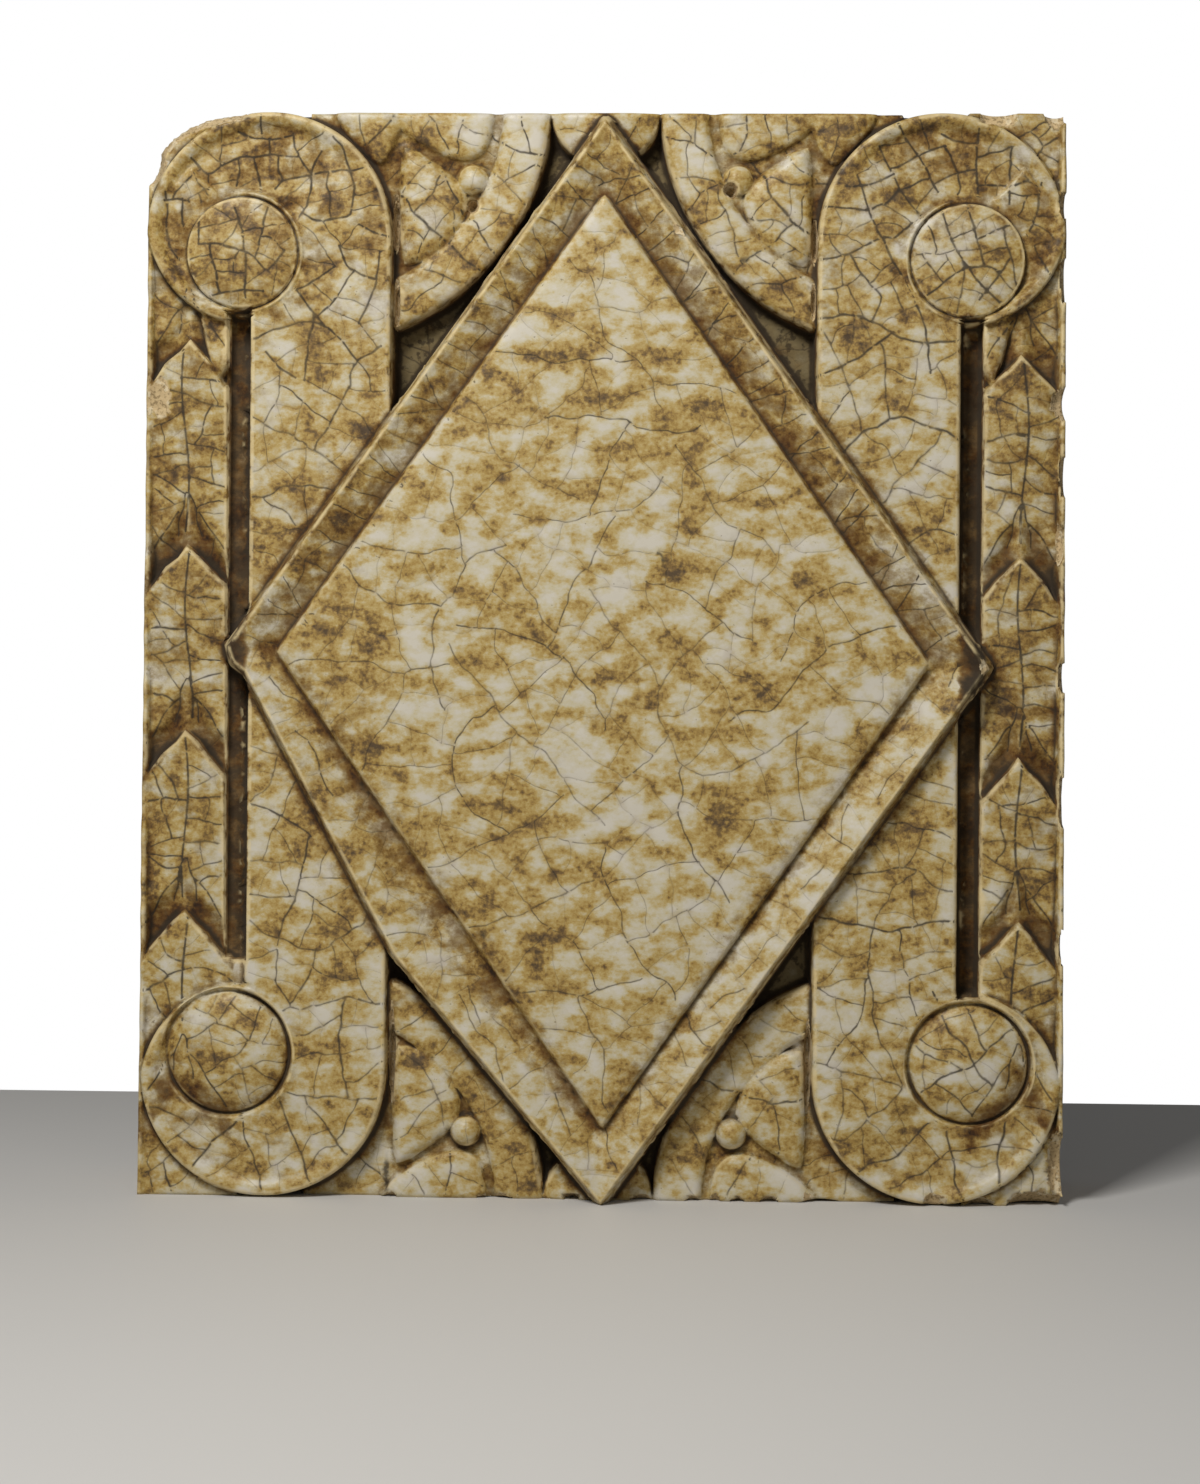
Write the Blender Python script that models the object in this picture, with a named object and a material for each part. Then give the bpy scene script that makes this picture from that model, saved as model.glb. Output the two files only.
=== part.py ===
"""Glazed terracotta relief tile: a lozenge over a pair of scrolled bands.

One cast block. The front faces -Y, +X is to the viewer's right and +Z is up, and the
origin is the middle of the underside. Lengths are metres.
"""
import math
import random

import bmesh
import bpy
from mathutils import Vector

MM = 0.001

# The block
HEIGHT = 495 * MM
FOOT_HALF_WIDTH = 210.5 * MM
HEAD_HALF_WIDTH = 207.5 * MM
DEPTH = 96 * MM

# Rises are measured forwards from the ground, the deep plane between the carved forms
RIDGE_RISE = 30 * MM
GROUND_Y = -DEPTH / 2 + RIDGE_RISE
SINK = 8 * MM
OVERSIZE = 6 * MM

# The lozenge: half diagonals across and up, at the ridge and at the inner field
LOZENGE_MIDDLE = (1 * MM, 244.5 * MM)
LOZENGE_ACROSS = 172.5 * MM
LOZENGE_UP = 243.8 * MM
BORDER_WIDTH = 20 * MM
WALL_DRAFT = 2 * MM
RIDGE_FLAT = 1.2 * MM
BORDER_FOOT_RISE = 24.5 * MM
FIELD_EDGE_RISE = 27.5 * MM
FIELD_PILLOW_RISE = 29 * MM

# The scrolled bands
BAND_INNER = 97 * MM
BAND_OUTER = 161.5 * MM
BAND_RISE = 20 * MM
BAND_ROUNDING = 2.2 * MM
SCROLL_X = 153 * MM
SCROLL_RADIUS = 55.7 * MM
SCROLL_IN = 56.5 * MM
SCROLL_TAIL_RADIUS = 44.5 * MM
SCROLL_TAIL_TURN = math.radians(62)

# The round eye in each scroll end: across, in from the head or foot, radius
UPPER_EYE = (164.5 * MM, 66.5 * MM, 26 * MM)
LOWER_EYE = (168 * MM, 65 * MM, 27 * MM)
EYE_EDGE_RISE = 21 * MM
EYE_CROWN_RISE = 26 * MM
EYE_GROOVE = 2.6 * MM
EYE_GROOVE_RISE = 16.5 * MM

# The slot between band and scales
SLOT_OUTER = 170 * MM
SLOT_RISE = -6 * MM
SLOT_HEAD = 404 * MM
SLOT_FOOT = 91 * MM
SLOT_CLEARANCE = 0.3 * MM

# The column of overlapping scales down each side
SCALE_X = 189.5 * MM
SCALE_HALF_WIDTH = 19.5 * MM
SCALE_TIPS = [388 * MM, 296 * MM, 208 * MM, 129 * MM]
SCALE_SHOULDER_DROP = 21 * MM
SCALE_TUCK = 5 * MM
SCALE_COLUMN_FOOT = 50 * MM
SCALE_TIP_RISE = 17 * MM
SCALE_SHOULDER_RISE = 14.5 * MM
SCALE_FOOT_RISE = 8.5 * MM
HOLLOW_RISE = 4.5 * MM
STEM_LEFT, STEM_RIGHT, STEM_FOOT = 181 * MM, 188 * MM, 380 * MM
STEM_RISE = 15 * MM

# Quarter rings and leaf forms, alike in all four corners; heights in from head or foot
RING_X = 135 * MM
RING_BEYOND_EDGE = 3.5 * MM
RING_OUTER_RADIUS = 110 * MM
RING_INNER_RADIUS = 88 * MM
RING_RISE = 13.5 * MM
RING_ROUNDING = 3 * MM
BED_RISE = 7 * MM
LEAF_RISE = 15 * MM
LEAF_ROUNDING = 4 * MM
# Leaf outlines: across from the middle, and in from the head or foot
UPRIGHT_LEAF = [(94.5 * MM, 15 * MM), (89 * MM, 15 * MM), (81 * MM, 20 * MM), (71 * MM, 27 * MM),
                (64 * MM, 34 * MM), (62 * MM, 42 * MM), (65 * MM, 51 * MM), (70 * MM, 59 * MM),
                (79 * MM, 66 * MM), (88 * MM, 70 * MM), (94.5 * MM, 69 * MM)]
EDGE_LEAF = [(102 * MM, -6 * MM), (97 * MM, 5 * MM), (89 * MM, 12 * MM), (79 * MM, 17.5 * MM),
             (68 * MM, 22 * MM), (58 * MM, 21 * MM), (52 * MM, 13 * MM), (50 * MM, -6 * MM)]
KNOB = (59.5 * MM, 31 * MM, 6.5 * MM)
KNOB_EDGE_RISE, KNOB_CROWN_RISE = 11 * MM, 16.5 * MM
PETAL_LEFT, PETAL_TIP, PETAL_RIGHT, PETAL_LENGTH = 93 * MM, 101 * MM, 107 * MM, 23 * MM
PETAL_RISE = 12 * MM
BOSS_RADIUS, BOSS_BEYOND_EDGE = 25 * MM, 1 * MM
BOSS_EDGE_RISE, BOSS_CROWN_RISE = 11 * MM, 15 * MM

# Keying grooves in the back
GROOVE_COUNT = 5
GROOVE_WIDTH = 12 * MM
GROOVE_DEPTH = 4 * MM

# Knocks along the edges: across, up, rise, and half sizes across, up and deep
CHIPS = [
    (-209 * MM, 363 * MM, 16 * MM, 5 * MM, 11 * MM, 4 * MM),
    (208 * MM, 363 * MM, 17 * MM, 5 * MM, 7 * MM, 5 * MM),
    (102 * MM, 3 * MM, 16 * MM, 9 * MM, 13 * MM, 5 * MM),
    (150 * MM, 0 * MM, 19 * MM, 5 * MM, 4 * MM, 4 * MM),
    (198 * MM, 0 * MM, 12 * MM, 13 * MM, 5 * MM, 8 * MM),
    (-173 * MM, 250 * MM, 30 * MM, 3.5 * MM, 7 * MM, 4 * MM),
    (-47 * MM, 0 * MM, 12 * MM, 8 * MM, 3 * MM, 4 * MM),
]
# The broken head corner: where the break runs, from the side to the head
BREAK_LINE = [(-214, 466), (-205, 468), (-203, 477), (-195, 484), (-186, 488), (-176, 490),
              (-166, 494), (-160, 500)]
BREAK_ROUGHNESS = 1.3 * MM


def at(x, z, rise):
    """Point across, up and forwards from the ground."""
    return Vector((x, GROUND_Y - rise, z))


def arc(x, z, radius, start, end, steps, end_radius=None):
    """Points along an arc or, with an end radius, a tightening spiral. Angles in radians."""
    last = radius if end_radius is None else end_radius
    points = []
    for step in range(steps + 1):
        share = step / steps
        angle = start + (end - start) * share
        reach = radius + (last - radius) * share
        points.append((x + reach * math.cos(angle), z + reach * math.sin(angle)))
    return points


def finish(mesh, name, smooth=True):
    """Turn a bmesh into an object whose faces point outwards."""
    bmesh.ops.recalc_face_normals(mesh, faces=mesh.faces)
    data = bpy.data.meshes.new(name)
    mesh.to_mesh(data)
    mesh.free()
    if smooth:
        data.shade_smooth()
        data.set_sharp_from_angle(angle=math.radians(35))
    shape = bpy.data.objects.new(name, data)
    bpy.context.scene.collection.objects.link(shape)
    return shape


def plate(name, outline, rise, low=-SINK, rounding=0.0, segments=2):
    """A flat-topped form of the given outline with a rounded front edge."""
    mesh = bmesh.new()
    base = mesh.faces.new([mesh.verts.new(at(x, z, low)) for x, z in outline])
    extruded = bmesh.ops.extrude_face_region(mesh, geom=[base])["geom"]
    front = [item for item in extruded if isinstance(item, bmesh.types.BMVert)]
    bmesh.ops.translate(mesh, verts=front, vec=(0, low - rise, 0))
    if rounding:
        rim = {edge for edge in mesh.edges if all(vert in front for vert in edge.verts)}
        bmesh.ops.bevel(mesh, geom=list(rim), offset=rounding, segments=segments,
                        profile=0.5, affect="EDGES", clamp_overlap=True)
    return finish(mesh, name, smooth=False)


def dome(name, x, z, radius, edge_rise, crown_rise, low=-SINK, steps=40, rows=4):
    """A round form with straight sides and a domed front."""
    mesh = bmesh.new()
    profile = [(radius, low), (radius, edge_rise)]
    for row in range(1, rows + 1):
        turn = math.pi / 2 * row / rows
        profile.append((radius * math.cos(turn),
                        edge_rise + (crown_rise - edge_rise) * math.sin(turn)))
    verts = [mesh.verts.new(at(x + across, z, rise)) for across, rise in profile]
    edges = [mesh.edges.new(pair) for pair in zip(verts, verts[1:])]
    bmesh.ops.spin(mesh, geom=verts + edges, cent=at(x, z, 0), axis=(0, 1, 0),
                   angle=2 * math.pi, steps=steps, use_merge=True)
    bmesh.ops.remove_doubles(mesh, verts=mesh.verts, dist=0.01 * MM)
    bmesh.ops.edgeloop_fill(mesh, edges=[edge for edge in mesh.edges if edge.is_boundary])
    return finish(mesh, name)


def loft(name, loops):
    """Bridge loops of equal length, and close the first and the last."""
    mesh = bmesh.new()
    rows = [[mesh.verts.new(point) for point in loop] for loop in loops]
    count = len(rows[0])
    for low, high in zip(rows, rows[1:]):
        for index in range(count):
            after = (index + 1) % count
            mesh.faces.new((low[index], low[after], high[after], high[index]))
    mesh.faces.new(rows[0])
    mesh.faces.new(rows[-1])
    return finish(mesh, name)


def body_outline(grow=0.0):
    """The block's four corners, drawn in towards the head."""
    return [(-FOOT_HALF_WIDTH - grow, -grow), (FOOT_HALF_WIDTH + grow, -grow),
            (HEAD_HALF_WIDTH + grow, HEIGHT + grow), (-HEAD_HALF_WIDTH - grow, HEIGHT + grow)]


def lozenge():
    """Steep wall, sharp ridge, border sloping in, and a pillowed field a step above it."""
    middle_x, middle_z = LOZENGE_MIDDLE
    side_distance = LOZENGE_ACROSS * LOZENGE_UP / math.hypot(LOZENGE_ACROSS, LOZENGE_UP)

    def diamond(inset, rise):
        scale = 1 - inset / side_distance
        return [at(middle_x + LOZENGE_ACROSS * scale * math.cos(turn),
                   middle_z + LOZENGE_UP * scale * math.sin(turn), rise)
                for turn in (0, math.pi / 2, math.pi, 3 * math.pi / 2)]

    return loft("lozenge form", [
        diamond(-WALL_DRAFT, -SINK),
        diamond(-WALL_DRAFT, 0),
        diamond(0, RIDGE_RISE - RIDGE_FLAT),
        diamond(RIDGE_FLAT, RIDGE_RISE),
        diamond(BORDER_WIDTH - RIDGE_FLAT, BORDER_FOOT_RISE),
        diamond(BORDER_WIDTH, FIELD_EDGE_RISE),
        diamond(BORDER_WIDTH * 2, FIELD_PILLOW_RISE),
    ])


def scrolled_band(side):
    """Upright band whose two ends swell into scrolls that wind outwards round an eye."""
    head_z = HEIGHT - SCROLL_IN
    outline = [(BAND_INNER, SCROLL_IN), (BAND_INNER, head_z)]
    outline += arc(SCROLL_X, head_z, SCROLL_RADIUS, math.pi, 0, 28)[1:]
    outline += arc(SCROLL_X, head_z, SCROLL_RADIUS, 0, -SCROLL_TAIL_TURN, 8,
                   SCROLL_TAIL_RADIUS)[1:]
    outline += [(BAND_OUTER, outline[-1][1])]
    tail = arc(SCROLL_X, SCROLL_IN, SCROLL_TAIL_RADIUS, SCROLL_TAIL_TURN, 0, 8, SCROLL_RADIUS)
    outline += [(BAND_OUTER, tail[0][1])] + tail
    outline += arc(SCROLL_X, SCROLL_IN, SCROLL_RADIUS, 0, -math.pi, 28)[1:-1]
    return plate("band form", [(side * x, z) for x, z in outline], BAND_RISE,
                 rounding=BAND_ROUNDING)


def scale(side, tip, foot):
    """One pointed scale: high at its tip, falling to hollows beside the tip of the next."""
    shoulder = tip - SCALE_SHOULDER_DROP
    reach = SCALE_HALF_WIDTH + OVERSIZE
    low_shoulder = foot - SCALE_SHOULDER_DROP - SCALE_TUCK
    outline = [(0, tip, SCALE_TIP_RISE),
               (SCALE_HALF_WIDTH, shoulder, SCALE_SHOULDER_RISE),
               (reach, shoulder - 1 * MM, SCALE_SHOULDER_RISE - 1 * MM),
               (reach, low_shoulder, HOLLOW_RISE),
               (0, low_shoulder, SCALE_FOOT_RISE),
               (-SCALE_HALF_WIDTH, low_shoulder, HOLLOW_RISE),
               (-SCALE_HALF_WIDTH, shoulder, SCALE_SHOULDER_RISE)]
    keel_top = foot + SCALE_SHOULDER_DROP * 1.2
    inner = [(0, shoulder, SCALE_TIP_RISE - 1 * MM),
             (SCALE_HALF_WIDTH * 0.8, keel_top + 8 * MM, SCALE_FOOT_RISE + 2.5 * MM),
             (0, keel_top, SCALE_FOOT_RISE + 2.5 * MM),
             (-SCALE_HALF_WIDTH * 0.8, keel_top + 8 * MM, SCALE_FOOT_RISE + 2.5 * MM),
             (SCALE_HALF_WIDTH * 0.6, foot, HOLLOW_RISE),
             (0, foot, SCALE_FOOT_RISE),
             (-SCALE_HALF_WIDTH * 0.6, foot, HOLLOW_RISE)]
    mesh = bmesh.new()
    centre = side * SCALE_X
    rim = [mesh.verts.new(at(centre + side * x, z, rise)) for x, z, rise in outline]
    back = [mesh.verts.new(at(centre + side * x, z, -SINK)) for x, z, rise in outline]
    spots = [mesh.verts.new(at(centre + side * x, z, rise)) for x, z, rise in inner]
    tip_v, shoulder_r, reach_top, reach_low, foot_v, foot_l, shoulder_l = rim
    chest, cheek_r, keel, cheek_l, hollow_r, keel_foot, hollow_l = spots
    for face in [(tip_v, shoulder_r, chest), (tip_v, chest, shoulder_l),
                 (shoulder_r, reach_top, cheek_r), (reach_top, reach_low, hollow_r, cheek_r),
                 (chest, shoulder_r, cheek_r), (chest, cheek_r, keel), (chest, keel, cheek_l),
                 (chest, cheek_l, shoulder_l), (cheek_l, hollow_l, foot_l, shoulder_l),
                 (keel, cheek_r, hollow_r), (keel, hollow_r, keel_foot),
                 (keel, keel_foot, hollow_l), (keel, hollow_l, cheek_l),
                 (hollow_r, reach_low, foot_v), (hollow_r, foot_v, keel_foot),
                 (keel_foot, foot_v, hollow_l), (hollow_l, foot_v, foot_l)]:
        mesh.faces.new(face)
    for index, vert in enumerate(rim):
        after = (index + 1) % len(rim)
        mesh.faces.new((vert, rim[after], back[after], back[index]))
    mesh.faces.new(back)
    return finish(mesh, "scale form", smooth=False)


def scale_column(side):
    feet = SCALE_TIPS[1:] + [SCALE_COLUMN_FOOT]
    forms = [scale(side, tip, foot) for tip, foot in zip(SCALE_TIPS, feet)]
    stem = [(STEM_LEFT, STEM_FOOT), (STEM_RIGHT, STEM_FOOT),
            (STEM_RIGHT, HEIGHT - SCROLL_IN), (STEM_LEFT, HEIGHT - SCROLL_IN)]
    forms.append(plate("stem form", [(side * x, z) for x, z in stem], STEM_RISE,
                       rounding=1.5 * MM))
    return forms


def corner_forms(side, up):
    """Quarter ring over a bed, two leaves, a knob and, at the head, a petal."""
    def placed(points):
        return [(side * x, HEIGHT - inward if up > 0 else inward) for x, inward in points]

    sweep = (math.pi * 0.99, math.pi * 0.5)
    outside = arc(RING_X, -RING_BEYOND_EDGE, RING_OUTER_RADIUS, *sweep, 18)
    inside = arc(RING_X, -RING_BEYOND_EDGE, RING_INNER_RADIUS, *sweep, 18)
    middle = arc(RING_X, -RING_BEYOND_EDGE, (RING_INNER_RADIUS + RING_OUTER_RADIUS) / 2,
                 *sweep, 9)
    forms = [
        plate("quarter ring form", placed(outside + inside[::-1]), RING_RISE,
              rounding=RING_ROUNDING),
        plate("bed form", placed(middle + [(RING_X, -OVERSIZE)]), BED_RISE),
        plate("upright leaf form", placed(UPRIGHT_LEAF), LEAF_RISE, rounding=LEAF_ROUNDING),
        plate("edge leaf form", placed(EDGE_LEAF), LEAF_RISE, rounding=LEAF_ROUNDING),
    ]
    (x, z), = placed([KNOB[:2]])
    forms.append(dome("knob form", x, z, KNOB[2], KNOB_EDGE_RISE, KNOB_CROWN_RISE,
                      steps=16, rows=3))
    if up > 0:
        petal = [(PETAL_LEFT, -OVERSIZE), (PETAL_RIGHT, -OVERSIZE), (PETAL_TIP, PETAL_LENGTH)]
        forms.append(plate("petal form", placed(petal), PETAL_RISE, rounding=1 * MM,
                           segments=1))
    return forms


def rough_lump(name, chip, seed):
    """An uneven ball that bites a chip out of an edge."""
    x, z, rise, across, up, deep = chip
    shaker = random.Random(seed)
    mesh = bmesh.new()
    bmesh.ops.create_icosphere(mesh, subdivisions=2, radius=1)
    for vert in mesh.verts:
        vert.co *= 1 + shaker.uniform(-0.16, 0.16)
        vert.co = Vector((vert.co.x * across, vert.co.y * deep, vert.co.z * up)) + at(x, z, rise)
    return finish(mesh, name, smooth=False)


def corner_break():
    """The wedge that is missing from the head corner, with a rough inner face."""
    shaker = random.Random(5)
    levels = 5
    loops = []
    for level in range(levels + 1):
        y = -DEPTH * 0.6 + DEPTH * 1.2 * level / levels
        line = [Vector(((x * MM) + shaker.uniform(-1, 1) * BREAK_ROUGHNESS, y,
                        (z * MM) + shaker.uniform(-1, 1) * BREAK_ROUGHNESS))
                for x, z in BREAK_LINE]
        far = Vector((-HEAD_HALF_WIDTH - 3 * OVERSIZE, y, HEIGHT + 3 * OVERSIZE))
        loops.append(line + [far])
    return loft("corner break", loops)


def slot_cutter(side):
    inner = BAND_OUTER + SLOT_CLEARANCE
    outline = [(inner, SLOT_FOOT), (SLOT_OUTER, SLOT_FOOT),
               (SLOT_OUTER, SLOT_HEAD), (inner, SLOT_HEAD)]
    return plate("slot", [(side * x, z) for x, z in outline], RIDGE_RISE, low=SLOT_RISE)


def groove_cutters():
    """Level grooves across the back, flared a little like a dovetail's mouth."""
    cutters = []
    for number in range(GROOVE_COUNT):
        z = HEIGHT * (number + 1) / (GROOVE_COUNT + 1)
        reach = FOOT_HALF_WIDTH + OVERSIZE
        half = GROOVE_WIDTH / 2
        back = DEPTH / 2
        section = [(back - GROOVE_DEPTH, -half), (back + OVERSIZE, -half * 0.85),
                   (back + OVERSIZE, half * 0.85), (back - GROOVE_DEPTH, half)]
        cutters.append(loft("keying groove", [
            [Vector((end * reach, y, z + dz)) for y, dz in section] for end in (-1, 1)]))
    return cutters


def gather(name, shapes):
    """Put helper shapes in a collection of their own, shown as wires and never rendered."""
    group = bpy.data.collections.new(name)
    bpy.context.scene.collection.children.link(group)
    for shape in shapes:
        for owner in list(shape.users_collection):
            owner.objects.unlink(shape)
        group.objects.link(shape)
        shape.hide_render = True
        shape.display_type = "WIRE"
    return group


def combine(tile, operation, shapes, name):
    boolean = tile.modifiers.new(name, "BOOLEAN")
    boolean.operation = operation
    boolean.solver = "EXACT"
    boolean.operand_type = "COLLECTION"
    boolean.collection = gather(name, shapes)


def glaze_material():
    """Cream crackle glaze over buff clay."""
    material = bpy.data.materials.new("cream crackle glaze")
    material.use_nodes = True
    shader = material.node_tree.nodes["Principled BSDF"]
    shader.inputs["Base Color"].default_value = (0.50, 0.44, 0.32, 1)
    shader.inputs["Roughness"].default_value = 0.25
    shader.inputs["Metallic"].default_value = 0.0
    return material


def build_tile():
    back = GROUND_Y - DEPTH / 2
    tile = plate("tile", body_outline(OVERSIZE), 0, low=back)
    low_forms, hollows, high_forms = [], [], [lozenge()]
    for side in (-1, 1):
        low_forms.append(scrolled_band(side))
        low_forms += scale_column(side)
        hollows.append(slot_cutter(side))
        for up, (x, inward, radius) in ((1, UPPER_EYE), (-1, LOWER_EYE)):
            low_forms += corner_forms(side, up)
            z = HEIGHT - inward if up > 0 else inward
            hollows.append(dome("eye groove", side * x, z, radius + EYE_GROOVE, RIDGE_RISE,
                                RIDGE_RISE + EYE_GROOVE, low=EYE_GROOVE_RISE, rows=1))
            high_forms.append(dome("eye form", side * x, z, radius, EYE_EDGE_RISE,
                                   EYE_CROWN_RISE))
    for z in (HEIGHT + BOSS_BEYOND_EDGE, -BOSS_BEYOND_EDGE):
        low_forms.append(dome("boss form", 0, z, BOSS_RADIUS, BOSS_EDGE_RISE,
                              BOSS_CROWN_RISE, steps=28, rows=3))
    losses = [rough_lump("chip", chip, seed) for seed, chip in enumerate(CHIPS)]
    losses += groove_cutters() + [corner_break()]
    bounds = plate("outline of the block", body_outline(), RIDGE_RISE + OVERSIZE,
                   low=back - OVERSIZE)

    combine(tile, "UNION", low_forms, "low forms")
    combine(tile, "DIFFERENCE", hollows, "hollows")
    combine(tile, "UNION", high_forms, "lozenge and eyes")
    combine(tile, "INTERSECT", [bounds], "block outline")
    combine(tile, "DIFFERENCE", losses, "losses")
    tile.data.materials.append(glaze_material())
    return tile


for old in list(bpy.data.objects):
    bpy.data.objects.remove(old)
build_tile()
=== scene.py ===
# %% [markdown]
# # A glazed relief tile
# This lesson dresses one cast block of terracotta: a raised lozenge over two scrolled bands,
# with leaf scales down the sides, quarter rings in the corners and a crackled cream glaze.
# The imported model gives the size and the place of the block. Everything that the eye reads,
# the soft glazed edges, the crazing and the chips, is made here around it.

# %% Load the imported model
import math

import bpy
import numpy as np
from mathutils import Matrix, Vector
from mathutils.geometry import delaunay_2d_cdt


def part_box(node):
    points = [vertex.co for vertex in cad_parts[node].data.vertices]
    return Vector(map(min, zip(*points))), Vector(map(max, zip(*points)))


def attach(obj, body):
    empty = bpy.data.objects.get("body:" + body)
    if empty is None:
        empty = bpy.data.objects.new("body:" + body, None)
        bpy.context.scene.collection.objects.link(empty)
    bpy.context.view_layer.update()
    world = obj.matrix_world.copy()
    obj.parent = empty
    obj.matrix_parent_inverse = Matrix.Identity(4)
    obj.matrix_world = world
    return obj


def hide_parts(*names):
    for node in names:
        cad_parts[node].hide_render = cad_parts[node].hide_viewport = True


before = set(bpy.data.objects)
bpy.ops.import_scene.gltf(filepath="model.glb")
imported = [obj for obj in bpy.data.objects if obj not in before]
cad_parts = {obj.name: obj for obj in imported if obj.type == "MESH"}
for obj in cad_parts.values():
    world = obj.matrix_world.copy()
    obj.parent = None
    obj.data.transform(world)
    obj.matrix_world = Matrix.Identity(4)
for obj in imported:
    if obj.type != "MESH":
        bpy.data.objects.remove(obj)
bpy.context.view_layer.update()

MM = 0.001
low, high = (np.array(corner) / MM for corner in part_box("tile"))
HEIGHT = high[2]
FOOT_HALF_WIDTH = high[0]
HEAD_HALF_WIDTH = FOOT_HALF_WIDTH - 2
RIDGE_RISE = 30
GROUND_Y = low[1] + RIDGE_RISE
BACK_Y = high[1]


def half_width_at(z):
    """Half the width of the front at a height: its sides draw in towards the head."""
    return FOOT_HALF_WIDTH + (HEAD_HALF_WIDTH - FOOT_HALF_WIDTH) * z / HEIGHT


def placed(name, data):
    """Put a mesh, a lamp or a camera into the scene as a new object."""
    thing = bpy.data.objects.new(name, data)
    bpy.context.collection.objects.link(thing)
    return thing


print("block in mm:", (high - low).round(1))

# %% [markdown]
# ## A relief is a height over every point
# The front was pressed into a mould, so nothing on it is undercut. That means that one number,
# how far the surface stands in front of the ground, says everything about a point of it. Lengths
# here are millimetres: x across from the middle, z up from the foot, and a rise forwards from
# the ground. These small helpers work on whole arrays of points at once.

# %% Helpers for heights
def ramp(value, start, end):
    """0 before start, 1 after end and a soft step between them."""
    share = np.clip((value - start) / (end - start), 0, 1)
    return share * share * (3 - 2 * share)


def soft_max(first, second, pool=0.8):
    """The higher of two heights, with a little glaze pooled where they meet."""
    close = np.maximum(pool - np.abs(first - second), 0)
    return np.maximum(first, second) + close * close / (4 * pool)


def lumps(x, z, size, seed):
    """Smooth random lumps between -1 and 1, about size millimetres apart."""
    table = np.random.RandomState(seed).uniform(-1, 1, (64, 64))
    across, up = x / size + 500, z / size + 500
    column, line = np.floor(across).astype(int), np.floor(up).astype(int)
    s, t = ramp(across - column, 0, 1), ramp(up - line, 0, 1)

    def corner(right, above):
        """Random number at one corner of each point's square."""
        return table[(column + right) % 64, (line + above) % 64]

    below = corner(0, 0) * (1 - s) + corner(1, 0) * s
    return below * (1 - t) + (corner(0, 1) * (1 - s) + corner(1, 1) * s) * t


print("a quarter of the way up a ramp:", ramp(0.25, 0, 1).round(3))

# %% Helpers for outlines
def inside(x, z, outline, batch=20000):
    """How far points lie inside a closed outline, and outside as a negative number."""
    start = np.asarray(outline, float)
    run = np.roll(start, -1, axis=0) - start
    length = (run ** 2).sum(1)
    depth = np.empty(len(x))
    for first in range(0, len(x), batch):
        part = slice(first, first + batch)
        dx = x[part, None] - start[:, 0]
        dz = z[part, None] - start[:, 1]
        share = np.clip((dx * run[:, 0] + dz * run[:, 1]) / length, 0, 1)
        reach = np.hypot(dx - share * run[:, 0], dz - share * run[:, 1]).min(1)
        crossed = (dz < 0) != (dz - run[:, 1] < 0)
        slope = np.where(run[:, 1] == 0, 1, run[:, 1])
        left = dx < run[:, 0] * dz / slope
        odd = (crossed & left).sum(1) % 2 == 1
        depth[part] = np.where(odd, reach, -reach)
    return depth


def arc(x, z, radius, start, end, steps, end_radius=None):
    """Points along an arc or, with an end radius, a tightening spiral. Angles in degrees."""
    share = np.linspace(0, 1, steps + 1)
    turn = np.radians(start + (end - start) * share)
    reach = radius + ((radius if end_radius is None else end_radius) - radius) * share
    return list(zip(x + reach * np.cos(turn), z + reach * np.sin(turn)))


def lengths_along(path):
    """Length of a path from its start to each of its points."""
    return np.append(0, np.cumsum(np.hypot(*np.diff(path, axis=0).T)))


def places_at(where, lengths, path):
    """Points that lie the given lengths along a path."""
    return np.stack([np.interp(where, lengths, path[:, k]) for k in (0, 1)], 1)


def left_of(run):
    """Directions turned a quarter turn to the left."""
    return np.stack([-run[:, 1], run[:, 0]], 1)


print("depth in the middle of a disc of 10 mm:",
      inside(np.zeros(1), np.zeros(1), arc(0, 0, 10, 0, 350, 35)).round(2))

# %% [markdown]
# ## Forms
# Each carved form is an outline, a top and a rim. A potter softens every edge, and the glaze
# rounds it further, so the top falls over a rounded rim into a wall that leans a little, as it
# must to leave the mould. One class holds that, and the relief is the highest form at a point.

# %% One raised form
class Form:
    """A raised form. The top is a height, or a function of x, z and the depth inside."""
    margin = 3.4
    lean, lean_reach = 0, 0

    def __init__(self, name, outline, top, rim, wall=9, rows=(), cell=8, step=2.4):
        self.name = name
        self.outline = np.array(outline, float)
        ahead = np.roll(self.outline, -1, axis=0)
        area = (self.outline[:, 0] * ahead[:, 1] - ahead[:, 0] * self.outline[:, 1]).sum()
        if area < 0:
            self.outline = self.outline[::-1]
        self.top = top
        self.rim = rim
        self.wall = wall
        self.rows = (0, rim * 0.3, rim, rim + 1.4) + tuple(rows)
        self.cell = cell
        self.step = step

    def near(self, x, z):
        """Which points are close enough to matter."""
        left, foot = self.outline.min(0) - self.margin
        right, head = self.outline.max(0) + self.margin
        return (x > left) & (x < right) & (z > foot) & (z < head)

    def height(self, x, z):
        """Height of the form, falling below everything else outside its wall."""
        depth = inside(x, z, self.outline)
        top = self.top(x, z, depth) if callable(self.top) else self.top
        reach = self.rim - np.clip(depth, 0, self.rim)
        drop = self.rim - np.sqrt(np.maximum(self.rim ** 2 - reach ** 2, 0))
        out = np.maximum(-depth, 0)
        leaning = np.minimum(out, self.lean_reach)
        return top - drop - self.lean * leaning - self.wall * (out - leaning)


def mirrored(points, side, up):
    """Place points given across and in from head or foot on one side and at one end."""
    return [(side * x, HEIGHT - inward if up > 0 else inward) for x, inward in points]


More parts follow.
